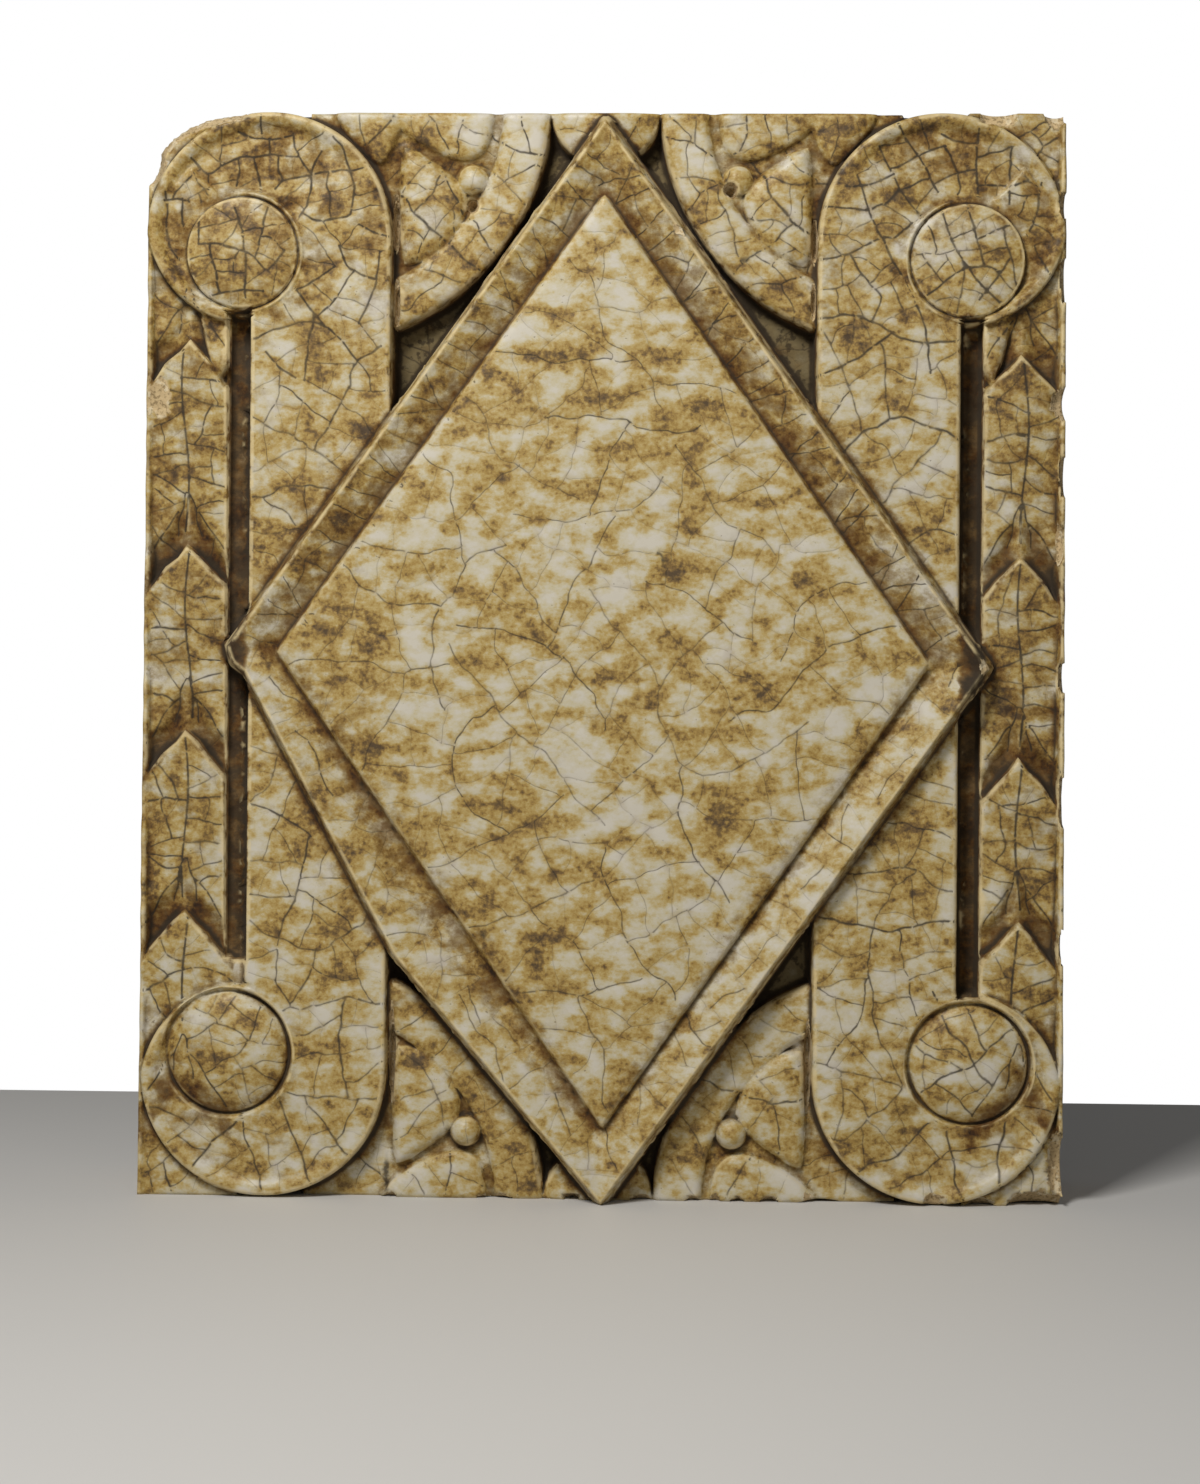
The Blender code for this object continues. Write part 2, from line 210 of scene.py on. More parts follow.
print("depths of the rows of a form with a rim of 2 mm:",
      Form("trial", [(0, 0), (9, 0), (9, 9)], 5, 2).rows)

# %% [markdown]
# ## The scrolled bands
# Two upright bands swell at their ends into scrolls. A scroll is a circle whose last stretch
# tightens, so it is drawn as an arc and a short spiral. Towards the corner the scroll is dished
# inside a raised rim, which a function of the place can say better than another outline.

# %% Bands
BAND_INNER, BAND_OUTER, BAND_RISE = 97, 161.5, 20
SCROLL_X, SCROLL_IN, SCROLL_RADIUS = 153, 56.5, 55.7
TAIL_RADIUS, TAIL_TURN = 44.5, 62
DISH_DEPTHS = {1: 3.8, -1: 2.4}


def band_outline(side):
    """Inner edge, head scroll, outer edge and foot scroll."""
    head = HEIGHT - SCROLL_IN
    points = [(BAND_INNER, SCROLL_IN), (BAND_INNER, head)]
    points += arc(SCROLL_X, head, SCROLL_RADIUS, 180, 0, 44)[1:]
    points += arc(SCROLL_X, head, SCROLL_RADIUS, 0, -TAIL_TURN, 14, TAIL_RADIUS)[1:]
    points += [(BAND_OUTER, points[-1][1])]
    tail = arc(SCROLL_X, SCROLL_IN, TAIL_RADIUS, TAIL_TURN, 0, 14, SCROLL_RADIUS)
    points += [(BAND_OUTER, tail[0][1])] + tail
    points += arc(SCROLL_X, SCROLL_IN, SCROLL_RADIUS, 0, -180, 44)[1:-1]
    return [(side * x, z) for x, z in points]


def band_top(x, z, depth):
    """Almost flat, and dished inside the rim of each scroll on its side to the corner."""
    height = np.full(len(x), float(BAND_RISE))
    for centre, up in ((HEIGHT - SCROLL_IN, 1), (SCROLL_IN, -1)):
        across, along = np.abs(x) - SCROLL_X, (z - centre) * up
        away = np.maximum(np.hypot(across, along), 1)
        cornerwards = ramp((across * 0.75 + along * 0.66) / away, -0.4, 0.3)
        height -= DISH_DEPTHS[up] * cornerwards * ramp(depth, 3.4, 8) * ramp(away, 60, 56)
    return height + 0.35 * lumps(x, z, 34, 3)


forms = [Form("band", band_outline(side), band_top, 1.7, wall=11, rows=(5.2, 7), cell=7.4)
         for side in (-1, 1)]
print("bands:", len(forms))

# %% [markdown]
# ## The columns of scales
# Down each side run overlapping pointed leaves, like slates. Each is thickest at its point and
# thins towards its foot, where two hollows open on either side of the next point and a small
# keel is left between them.

# %% One scale
SCALE_X, SCALE_HALF_WIDTH, SHOULDER_DROP = 189.5, 19.5, 24
SCALE_TIPS = {-1: (390, 297, 212, 130), 1: (386, 294, 202, 128)}
HOLLOW_RISE, KEEL_LENGTH = 8.4, 25
shape_dice = np.random.RandomState(6)


def scale_form(side, tip, foot):
    """One scale, from its own point to behind the point of the next."""
    middle = side * SCALE_X
    low_shoulder = foot - SHOULDER_DROP - 5
    outline = [(0, tip), (-4.6, tip - 5.2), (-10, tip - 11), (-15.4, tip - 17),
               (-21, tip - SHOULDER_DROP - 1), (-26, low_shoulder), (26, low_shoulder),
               (21, tip - SHOULDER_DROP - 1), (15.4, tip - 18), (10, tip - 11), (5, tip - 5.4)]
    outline = [(middle + x + shape_dice.uniform(-1, 1), z + shape_dice.uniform(-1, 1))
               for x, z in outline]

    def top(x, z, depth):
        """The swelling chest, the hollows at its foot and the keel between them."""
        off = np.abs(x - middle)
        fall = np.clip((tip - z) / (tip - foot), 0, 1)
        chest = 18 - 3.6 * ramp(fall, 0.1, 0.85) - 2 * (off / SCALE_HALF_WIDTH) ** 2
        above = z - (foot - off * SHOULDER_DROP / SCALE_HALF_WIDTH)
        hollow = HOLLOW_RISE + (chest - HOLLOW_RISE) * ramp(above + 5 * lumps(x, z, 9, 96), 7, 23)
        climb = np.clip((foot + KEEL_LENGTH - z) / KEEL_LENGTH, 0, 1)
        keel = np.where(z < foot + KEEL_LENGTH, 15 - 1.2 * climb - off * (1.5 - 1.0 * climb), 0)
        return np.where(above < 38, soft_max(hollow, keel, 2), chest)

    return Form("scale", outline, top, 1.4, wall=5, rows=(4,), cell=5.4)


print("scales:", sum(len(tips) + 1 for tips in SCALE_TIPS.values()))

# %% Columns, stems and side edges
COLUMN_FOOT, BEHIND_SCROLL = 50, 470
COLUMN_BED, CORNER_BED = 9, 15
ARRIS_WIDTH = 2.3


def bed_top(x, z, depth):
    """Low under the scales, and high in the corners beyond the scrolls."""
    return COLUMN_BED + (CORNER_BED - COLUMN_BED) * (ramp(z, 425, 445) + ramp(z, 50, 34))


for side in (-1, 1):
    bed = [(165, -6), (214, -6), (214, HEIGHT + 6), (165, HEIGHT + 6)]
    forms.append(Form("column", [(side * x, z) for x, z in bed], bed_top, 0.6, cell=5.2))
    tips = SCALE_TIPS[side]
    for tip, foot in zip((BEHIND_SCROLL,) + tips, tips + (COLUMN_FOOT,)):
        forms.append(scale_form(side, tip, foot))
    stem = [(166, 420), (166, 380), (172.5, 378), (176, 370), (181, 384), (184.5, 400), (185, 420)]
    forms.append(Form("stem", [(side * x, z) for x, z in stem], 16, 3.2, wall=4, cell=5.2))
web = [(-157, 109), (-163.6, 107.6), (-169, 112), (-178, 104), (-178, 90), (-157, 90)]
forms.append(Form("stem", web, 15.4, 2.4, wall=4, cell=5.2))
for side, rise in ((1, 18.6), (-1, 16)):
    strip = [(FOOT_HALF_WIDTH - ARRIS_WIDTH, -6), (FOOT_HALF_WIDTH + 4, -6),
             (HEAD_HALF_WIDTH + 4, HEIGHT + 6), (HEAD_HALF_WIDTH - ARRIS_WIDTH, HEIGHT + 6)]
    forms.append(Form("arris", [(side * x, z) for x, z in strip],
                      lambda x, z, depth, rise=rise: rise + 1.2 * lumps(x, z, 8, 95), 0.9, wall=3))
print("scales, stems and edges:", len(forms) - 2)

# %% [markdown]
# ## Rings, leaves and knobs in the corners
# The pattern was meant to run on from block to block, so each corner holds a quarter of a
# ring, with two plump leaves inside it, a knob where they meet and, at the head, a petal. The
# same outlines serve all four corners, turned over.

# %% Outlines and tops in the corners
RING_X, RING_BEYOND, RING_OUTER, RING_INNER = 135, 3.5, 110, 88
UPRIGHT_LEAF = [(94.5, 15), (89, 15), (81, 20), (71, 27), (64, 34), (62, 42), (65, 51), (70, 59),
                (79, 66), (88, 70), (94.5, 69)]
EDGE_LEAF = [(102, -6), (97, 5), (89, 12), (79, 17.5), (68, 22), (58, 21), (52, 13), (50, -6)]
KNOB_X, KNOB_IN, KNOB_RADIUS = 60.5, 30.5, 7
PETAL = [(92.5, -6), (92.5, 4), (95, 12), (101, 24), (107, 23), (116, 13), (123, 5), (124, -6)]


def rounded(points, passes=2):
    """Cut the corners of a closed outline a few times over, so that it reads as a curve."""
    points = np.array(points, float)
    for _ in range(passes):
        ahead = np.roll(points, -1, axis=0)
        points = np.stack([points * 0.75 + ahead * 0.25, points * 0.25 + ahead * 0.75], 1)
        points = points.reshape(-1, 2)
    return points


def plump(height, crown, reach):
    """A top that swells from its rim over the given reach and is level beyond it."""
    return lambda x, z, depth: height + crown * (1 - (1 - np.clip(depth / reach, 0, 1)) ** 2)


def ball(height, swell):
    """A top that is part of a ball."""
    def top(x, z, depth):
        """Rises with the depth inside the knob's outline."""
        away = 1 - np.clip(depth / KNOB_RADIUS, 0, 1)
        return height + swell * np.sqrt(1 - 0.9 * away ** 2)
    return top


print("points on a leaf once rounded:", len(rounded(UPRIGHT_LEAF)))

# %% Corner forms and bosses
BOSS_RADIUS = 25
for side in (-1, 1):
    for up in (1, -1):
        sweep = arc(RING_X, -RING_BEYOND, RING_OUTER, 182, 90, 40)
        back = arc(RING_X, -RING_BEYOND, RING_INNER, 90, 182, 34)
        bed = arc(RING_X, -RING_BEYOND, RING_INNER + 8, 182, 90, 24) + [(RING_X, -6)]
        knob = arc(KNOB_X, KNOB_IN, KNOB_RADIUS, 0, 345, 23)
        forms.append(Form("ring", mirrored(sweep + back, side, up), plump(12.4, 0.9, 9), 3,
                          wall=7, rows=(7,), cell=8))
        forms.append(Form("bed", mirrored(bed, side, up), 9.5 if up > 0 else 8.8, 0.6, cell=7))
        forms.append(Form("leaf", rounded(mirrored(UPRIGHT_LEAF, side, up)),
                          plump(12.4, 2.4, 13), 3.4, wall=6, rows=(7.5, 11), cell=7.5, step=2))
        forms.append(Form("leaf", rounded(mirrored(EDGE_LEAF, side, up)),
                          plump(12.2, 1.4, 10), 2.4, wall=6, rows=(7,), cell=7, step=2))
        swell = ball(9.6, 5.2) if up > 0 else ball(9.4, 7.6)
        forms.append(Form("knob", mirrored(knob, side, up), swell, 0.8, wall=5,
                          rows=(4, 5.6), cell=9, step=1.6))
        if up > 0:
            forms.append(Form("petal", rounded(mirrored(PETAL, side, up), 1),
                              plump(11.4, 2.4, 8), 1.6, wall=6, rows=(5,), cell=7, step=2))
for z in (HEIGHT + 1, -1):
    boss = arc(0, z, BOSS_RADIUS, 0, 352, 44)
    forms.append(Form("boss", boss, plump(11, 3.6, 20), 2, wall=7, rows=(7,), cell=8))
low_forms = list(forms)
print("forms on the ground:", len(low_forms))

# %% [markdown]
# ## Slots, eyes and the lozenge
# The slots beside the bands and the grooves round the eyes are cut into what is there, so they
# take a height away. The eyes and the lozenge then stand over them. The lozenge is one profile
# read by the depth inside its edge: wall, sharp ridge, a border that slopes in, a small step
# and a field that swells a little.

# %% Sizes of the slots, eyes and lozenge
SLOT_RISE, SLOT_WALL = 5, 0.8
SLOTS = {-1: (160.6, 172, 107, 405), 1: (161.8, 172.4, 93, 403)}
# Across, up, radius and the way that the raised roll round the eye is boldest, in degrees
EYES = {(-1, 1): (165, 430, 26, 0), (1, 1): (164.5, 427.5, 26.4, 200),
        (-1, -1): (169.2, 66, 28, 20), (1, -1): (167.5, 64.5, 27.2, 45)}
# At the head and at the foot: rise of the groove, how fast its sides rise, rise of the disc's
# edge and its crown, way out to the roll, how much further out it is towards the foot and the
# right, and the roll's own rise where it is faint and where it is bold
EYE_SHAPES = {True: (18.2, 3, 19.4, 3.2, 1.3, 0, 7.6, 10.8),
              False: (14.8, 1.1, 15.6, 7.6, 2.3, 0.9, 5.2, 10.4)}
ROLL_HALF = 1.15
# Foot, right, head and left corners of the ridge and of the raised field
RIDGE_TIPS = [(2, 0.5), (174.1, 243.6), (0.3, 489.3), (-166.5, 246)]
FIELD_TIPS = [(2.2, 35.9), (147, 245.1), (0, 455.1), (-146.3, 248.4)]
BLUNT_TIP = [(-168.9, 250.6), (-166.7, 243.6), (-161.2, 239.6), (-92, 111.7)]
BORDER = 20
# Each profile is pairs of a depth inside its outline and the rise there
BORDER_PROFILE = [(0, 29), (0.5, 29.8), (1.1, 30), (2.2, 29.5), (4, 28.9), (10, 27), (16, 24.4),
                  (22, 21.4)]
FIELD_PROFILE = [(-8, 8), (-1.7, 23.6), (-0.5, 26.5), (0, 27.3), (0.8, 27.8), (3, 28.1), (25, 29.1),
                 (110, 29.3)]
print("steps in the lozenge's profile:", len(BORDER_PROFILE) + len(FIELD_PROFILE))

# %% Slots, eyes and lozenge
def slot_outline(side):
    """A narrow upright opening with softened ends."""
    inner, outer, foot, head = SLOTS[side]
    return [(side * x, z) for x, z in [(inner, foot), (outer, foot + 1), (outer, head - 1),
                                       (inner, head)]]


def lozenge_top(x, z, depth):
    """Border by the depth inside the ridge, and a field with the slow waves of handwork."""
    border = np.interp(depth, *zip(*BORDER_PROFILE))
    within = inside(x, z, FIELD_TIPS)
    waves = 0.3 * lumps(x, z, 40, 5) + 0.12 * lumps(x, z, 13, 6)
    field = np.interp(within, *zip(*FIELD_PROFILE)) + waves * ramp(within, 1, 8)
    return soft_max(border + 0.25 * lumps(x, z, 22, 7) * ramp(depth, 2, 6), field, 0.5)


def lozenge_outline():
    """Straight sides, with the left tip worn blunt and the side below it a little bowed."""
    return RIDGE_TIPS[:3] + BLUNT_TIP


slots = [Form("slot", slot_outline(side), 0, 0, rows=(SLOT_WALL,)) for side in (-1, 1)]
eyes = [(side * x, z, radius) for (side, up), (x, z, radius, turn) in EYES.items()]
roll_turns = [math.radians(turn) for *_, turn in EYES.values()]
eye_forms = [Form("eye", arc(x, z, radius, 0, 354, 59), 0, 0, cell=5.6) for x, z, radius in eyes]
lozenge = Form("lozenge", lozenge_outline(), lozenge_top, 0, wall=14, cell=10.5)
lozenge.margin, lozenge.lean, lozenge.lean_reach = 6, 2.8, 3.3
lozenge.rows = (-2.2, -1.1, 0, 0.5, 1.1, 2.2, 5.5)
FIELD_ROWS = (-1.8, -0.9, -0.3, 0.2, 0.8)
FIELD_BESIDE = (-4, 3)
forms += eye_forms + [lozenge]
print("all forms:", len(forms))

# %% [markdown]
# ## Losses
# The block has been knocked about: a head corner is gone, and the edges are nibbled. A knock
# takes a shell-shaped bite out of glaze and clay alike, so it lowers the relief to the inside
# of an uneven bowl, and the surface there is bare buff clay.

# %% Chips and the broken corner
# Across, up, rise of the bowl's middle, and half sizes across, up and deep
CHIPS = [(-203.4, 363, 17, 5.6, 12, 1.8), (208, 363, 17, 5, 7, 5), (101, -2, 17, 10, 24, 7),
         (152, -2, 21, 6, 8, 5), (199, -2, 14, 15, 9, 9), (-47, -2, 12, 8, 4, 4),
         (-172, 249, 31, 3.5, 7, 4), (176, 245, 31, 6, 9, 4.5), (34.3, 439.5, 31.4, 4.8, 3, 3.4),
         (178, 493, 14, 8, 4, 4), (204, 494, 12, 6, 5, 5), (206, 300, 16, 3, 9, 3),
         (-208, 470, 18, 7, 9, 8), (208, 20, 14, 4, 14, 4),
         (-12, -0.5, 11, 3.5, 3.2, 4), (20, -0.5, 12.5, 5, 3.4, 4), (44, -0.5, 12.5, 4, 2.6, 4),
         (53, -0.4, 12.5, 2.6, 3.6, 3), (64, -0.4, 12.5, 3, 2.4, 4), (78, -0.5, 12, 4.4, 2.6, 4),
         (132, -0.6, 20, 5, 4, 4), (-95, -0.5, 12, 3.4, 2.6, 3), (174, -0.5, 14, 7, 4, 4),
         (209.6, 118, 10, 1.8, 8, 3), (209, 182, 12, 1.6, 11, 3), (208.7, 240, 11, 1.7, 7, 3),
         (208.4, 330, 14, 1.8, 9, 3), (208, 420, 13, 1.7, 10, 3), (207.7, 452, 13, 2, 6, 3)]
BREAK_LINE = [(-166, HEIGHT), (-172, 494.2), (-184, 491.8), (-191.5, 488.6), (-199, 483.6),
              (-205.4, 476.6), (-207.4, 469.5)]
BREAK_FOOT, BREAK_REACH, BREAK_FALL = 467, 4.6, 8
# Pits beside the head knobs, and slits where the glaze didn't bridge the joint beside a band:
# across, up, half sizes across and up, and depth
PITS = [(-60.5, 452.5, 3.2, 3.6, 7), (57, 460, 3.6, 3.8, 7), (-95.4, 445, 1.9, 15, 8),
        (-94.6, 408, 1.5, 14, 7), (95.4, 437, 1.6, 12, 5), (95, 409, 1.4, 10, 5),
        (-94.6, 66, 1.7, 26, 6), (95, 62, 1.8, 24, 6)]


def to_break(x, z):
    """Distance to the broken edge of the head corner."""
    line = np.array(BREAK_LINE + [(-208.4, 466)])
    nearest = np.full(len(x), 1e3)
    for (ax, az), (bx, bz) in zip(line, line[1:]):
        share = np.clip(((x - ax) * (bx - ax) + (z - az) * (bz - az))
                        / ((bx - ax) ** 2 + (bz - az) ** 2), 0, 1)
        nearest = np.minimum(nearest, np.hypot(x - ax - share * (bx - ax),
                                               z - az - share * (bz - az)))
    return nearest


def losses(x, z, height):
    """Heights with the bites taken out."""
    for px, pz, across, up, deep in PITS:
        height = height - deep * ramp(np.hypot((x - px) / across, (z - pz) / up), 1, 0.4)
    rough = 0.9 * lumps(x, z, 2.4, 21) + 0.5 * lumps(x, z, 1.1, 22)
    for cx, cz, rise, across, up, deep in CHIPS:
        away = np.hypot((x - cx) / across, (z - cz) / up)
        away = away * (1 + 0.18 * lumps(x, z, (across + up) * 0.4, 23))
        bowl = rise - deep * np.sqrt(np.maximum(1 - away ** 2, 0)) + 0.35 * rough
        height = np.where(away < 1, np.minimum(height, bowl), height)
    off = to_break(x, z)
    reach = BREAK_REACH * (1 + 0.35 * lumps(x, z, 7, 24))
    worn = BREAK_FALL * (1 - np.clip(off / reach, 0, 1)) ** 1.2 + rough * (off < reach)
    return height - worn * (off < reach)


print("chips:", len(CHIPS), "pits and slits:", len(PITS))

# %% [markdown]
# ## The whole relief
# Now one function gives the height anywhere on the front, and says which form is on top. The
# ground between the forms is rough and uneven, because no tool was taken to it.

# %% One eye
def with_eye(x, z, height, eye, turn):
    """Heights with the groove, roll and domed disc of an eye, and where the eye is on top."""
    ex, ez, radius = eye
    groove, spread, disc, crown, out, further, faint, strong = EYE_SHAPES[ez > HEIGHT / 2]
    away, way = np.hypot(x - ex, z - ez), np.arctan2(z - ez, x - ex)
    worn_side = ramp(np.cos(way - 2.3), 0.1, 0.9) * (spread < 2)
    around = groove + 1.9 * worn_side + spread * np.maximum(away - radius, 0) ** 2
    around = np.minimum(height, around)
    bold = ramp(np.cos(way - turn), -0.6, 0.6)
    out = out + further * ramp(np.cos(way + 0.9), 0.2, 1)
    roll = faint + (strong - faint) * bold + 0.5 * height + 0.5 * lumps(x, z, 9, 91)
    roll -= 1.7 * ((away - radius - out) / ROLL_HALF) ** 2
    dome = disc + crown * np.maximum(1 - (away / radius) ** 2, 0) ** 0.6
    dome -= 2.3 * spread * np.maximum(away - radius + 1, 0)
    shaped = np.maximum(soft_max(soft_max(around, roll, 0.7), dome, 0.5), around)
    return np.where(away < radius + 5, shaped, height), away < radius + out


x, z, radius = eyes[0]
print("middle of an eye on level ground:",
      with_eye(np.full(1, x), np.full(1, z), np.zeros(1), eyes[0], 0)[0].round(1))

# %% Height of the front
def relief(x, z, skip=None):
    """Height and the number of the form on top, with one form left out if asked."""
    x, z = np.asarray(x, float), np.asarray(z, float)
    height = 0.8 * lumps(x, z, 9, 11) + 0.5 * lumps(x, z, 3.5, 12)
    owner = np.full(len(x), -1)

    def raise_by(form, number, pool):
        """Lay one form over what is there, and note where it is on top."""
        near = form.near(x, z)
        if form is skip or not near.any():
            return
        own = form.height(x[near], z[near])
        owner[near] = np.where(own > height[near], number, owner[near])
        height[near] = soft_max(height[near], own, pool)

    for number, form in enumerate(low_forms):
        raise_by(form, number, 1.6)
    for slot in slots:
        near = slot.near(x, z)
        depth = inside(x[near], z[near], slot.outline)
        floor = SLOT_RISE + np.maximum(SLOT_WALL - depth, 0) / SLOT_WALL * 30
        height[near] = np.where(depth > 0, np.minimum(height[near], floor), height[near])
    for number, (eye, turn) in enumerate(zip(eyes, roll_turns), len(low_forms)):
        height, on_top = with_eye(x, z, height, eye, turn)
        owner = np.where(on_top, number, owner)
    raise_by(lozenge, len(forms) - 1, 1.2)
    return height, owner


def front(x, z):
    """Final height of the front, with its losses, and how bare the clay is."""
    whole = relief(x, z)[0] + 0.18 * lumps(x, z, 17, 31) + 0.07 * lumps(x, z, 6, 32)
    chipped = losses(x, z, whole)
    return chipped, ramp(whole - chipped, 0.1, 0.45)


print("rise in the middle of the lozenge:", front(np.zeros(1), np.full(1, HEIGHT / 2))[0].round(1))

# %% [markdown]
# ## A map of the front
# Several later steps ask about places rather than single points: how deep a hollow is, where
# a wall stands, how far the next crack is. A square grid of heights answers them. Blurring
# it and comparing gives the cavities that hold dirt and painted shade, and the ridges that
# wear bright and get painted highlights.

# %% Grid of heights
PITCH = 0.6
grid_x = np.arange(-213, 213 + PITCH, PITCH)
grid_z = np.arange(-2, HEIGHT + 2 + PITCH, PITCH)
mesh_x, mesh_z = np.meshgrid(grid_x, grid_z, indexing="ij")
ground_map, owner_map = relief(mesh_x.ravel(), mesh_z.ravel())
height_map = losses(mesh_x.ravel(), mesh_z.ravel(), ground_map).reshape(mesh_x.shape)
ground_map = ground_map.reshape(mesh_x.shape)
owner_map = owner_map.reshape(mesh_x.shape)
half_width = half_width_at(mesh_z)
on_block = (np.abs(mesh_x) < half_width) & (mesh_z > 0) & (mesh_z < HEIGHT)
print("grid:", height_map.shape, "heights", height_map.min().round(1), height_map.max().round(1))

# %% Read and blur the grid
def blurred(values, size):
    """Values averaged over a soft round patch, size millimetres from its middle to its edge."""
    reach = int(round(2.2 * size / PITCH))
    weights = np.exp(-0.5 * (np.arange(-reach, reach + 1) * PITCH / size) ** 2)
    weights /= weights.sum()
    for axis in (0, 1):
        padded = np.pad(values, [(reach, reach) if a == axis else (0, 0) for a in (0, 1)], "edge")
        total = np.zeros_like(values)
        for number, weight in enumerate(weights):
            window = [slice(None), slice(None)]
            window[axis] = slice(number, number + values.shape[axis])
            total += weight * padded[tuple(window)]
        values = total
    return values


def depth_map(outline):
    """How far every square of the grid lies inside an outline."""
    return inside(mesh_x.ravel(), mesh_z.ravel(), outline).reshape(mesh_x.shape)


def squares(x, z, margin=0):
    """Columns and lines of the grid for points, held a margin inside the grid's edge."""
    column = np.round((x - grid_x[0]) / PITCH).astype(int)
    line = np.round((z - grid_z[0]) / PITCH).astype(int)
    return (np.clip(column, margin, len(grid_x) - 1 - margin),
            np.clip(line, margin, len(grid_z) - 1 - margin))


def look_up(values, x, z):
    """Read a grid between its points."""
    column = np.clip((np.asarray(x) - grid_x[0]) / PITCH, 0, len(grid_x) - 1.001)
    line = np.clip((np.asarray(z) - grid_z[0]) / PITCH, 0, len(grid_z) - 1.001)
    i, j = column.astype(int), line.astype(int)
    s, t = column - i, line - j
    return ((values[i, j] * (1 - s) + values[i + 1, j] * s) * (1 - t)
            + (values[i, j + 1] * (1 - s) + values[i + 1, j + 1] * s) * t)


slope_x, slope_z = np.gradient(height_map, PITCH)
steepness = np.hypot(slope_x, slope_z)
near_blur = blurred(height_map, 1.3)
mid_blur = blurred(height_map, 4)
wide_blur = blurred(height_map, 11)
print("steepest slope:", steepness.max().round(1))

# %% [markdown]
# ## Crazing
# The glaze shrank more than the clay and crazed. A crack runs until it meets an older crack
# or an edge, so crazing is a net of T-junctions, not of honeycomb cells. The same rule makes
# it here: each new crack starts where the glaze is widest for its place, crosses by a short
# way and stops at what it meets. Long cracks come first and end up widest.

# %% How far the nearest crack or wall is
# Distances are kept for every third square and up to 36 mm
COARSE, FARTHEST = 3, 36
# Widths of the plates between cracks: on the ground and on the lozenge's border
GROUND_CELL, BORDER_CELL = 6.5, 6.8
# No crack crosses a slope this steep or a place this far below the ground
STEEP, BITTEN_OFF = 1.9, -2.5
blocked = (steepness > STEEP) | (height_map < BITTEN_OFF) | ~on_block
clear_x, clear_z = grid_x[::COARSE], grid_z[::COARSE]


def distance_from(mask, reach):
    """Distance from marked squares in squares, exact up to reach."""
    square = np.where(mask, 0.0, 1e6)
    for axis in (0, 1):
        best = square.copy()
        for shift in range(1, reach + 1):
            fore = np.take(square, range(shift, square.shape[axis]), axis)
            aft = np.take(square, range(0, square.shape[axis] - shift), axis)
            keep, move = [slice(None), slice(None)], [slice(None), slice(None)]
            keep[axis], move[axis] = slice(0, -shift), slice(shift, None)
            best[tuple(keep)] = np.minimum(best[tuple(keep)], fore + shift ** 2)
            best[tuple(move)] = np.minimum(best[tuple(move)], aft + shift ** 2)
        square = best
    return np.sqrt(square)


clear = distance_from(blocked, 60)[::COARSE, ::COARSE] * PITCH
clear = np.minimum(clear, FARTHEST)
want = np.array([form.cell for form in forms] + [GROUND_CELL])[owner_map[::COARSE, ::COARSE]]
ridge_depth = depth_map(lozenge.outline)
deep_in = ridge_depth[::COARSE, ::COARSE]
want = np.where((deep_in > 0) & (deep_in < BORDER), BORDER_CELL, want)
upper = ramp(clear_z, 330, 440)[None, :] * np.ones_like(want)
want = want * (1 - 0.25 * upper * (deep_in < 0))
print("squares to craze:", int((clear > 0).sum()))

# %% One crack
CRACK_STEP = 0.8
crack_dice = np.random.RandomState(7)


def index_of(x, z):
    """Grid square of a point."""
    return (int(round((x - grid_x[0]) / PITCH)), int(round((z - grid_z[0]) / PITCH)))


def run_crack(x, z, heading, bend, limit):
    """Follow a crack until it meets something. It hooks into what it meets, as real ones do."""
    path = []
    wander = 0.0
    for _ in range(int(limit / CRACK_STEP)):
        wander = 0.84 * wander + crack_dice.normal(0, 0.15)
        heading += bend * CRACK_STEP + crack_dice.normal(0, 0.03)
        x += CRACK_STEP * math.cos(heading + wander)
        z += CRACK_STEP * math.sin(heading + wander)
        i, j = index_of(x, z)
        if not (2 < i < len(grid_x) - 3 and 2 < j < len(grid_z) - 3):
            break
        path.append((x, z))
        if blocked[i, j]:
            break
        ci, cj = min(i // COARSE, clear.shape[0] - 2), min(j // COARSE, clear.shape[1] - 2)
        if len(path) > 4 and clear[ci, cj] < 4:
            pull_x = clear[max(ci - 1, 0), cj] - clear[ci + 1, cj]
            pull_z = clear[ci, max(cj - 1, 0)] - clear[ci, cj + 1]
            size = math.hypot(pull_x, pull_z)
            ahead = math.cos(heading) * pull_x + math.sin(heading) * pull_z
            if size > 0.1 and ahead > 0.35 * size:
                turn = math.atan2(math.cos(heading) * pull_z - math.sin(heading) * pull_x, ahead)
                heading += 0.14 * turn
    return path


print("crack step in mm:", CRACK_STEP)

# %% Where a crack starts and what it blocks
def shortest_way(x, z, tries=14, reach=44):
    """Heading of a short way across from a point, with a little chance in it."""
    turns = np.pi * (np.arange(tries) + crack_dice.uniform()) / tries
    steps = np.arange(1, reach / CRACK_STEP) * CRACK_STEP
    total = np.zeros(tries)
    for sign in (-1, 1):
        px = x + sign * np.cos(turns)[:, None] * steps
        pz = z + sign * np.sin(turns)[:, None] * steps
        hits = blocked[squares(px, pz)]
        total += np.where(hits.any(1), np.argmax(hits, 1), len(steps))
    return turns[np.argmin(total * crack_dice.uniform(0.8, 1.45, tries))]


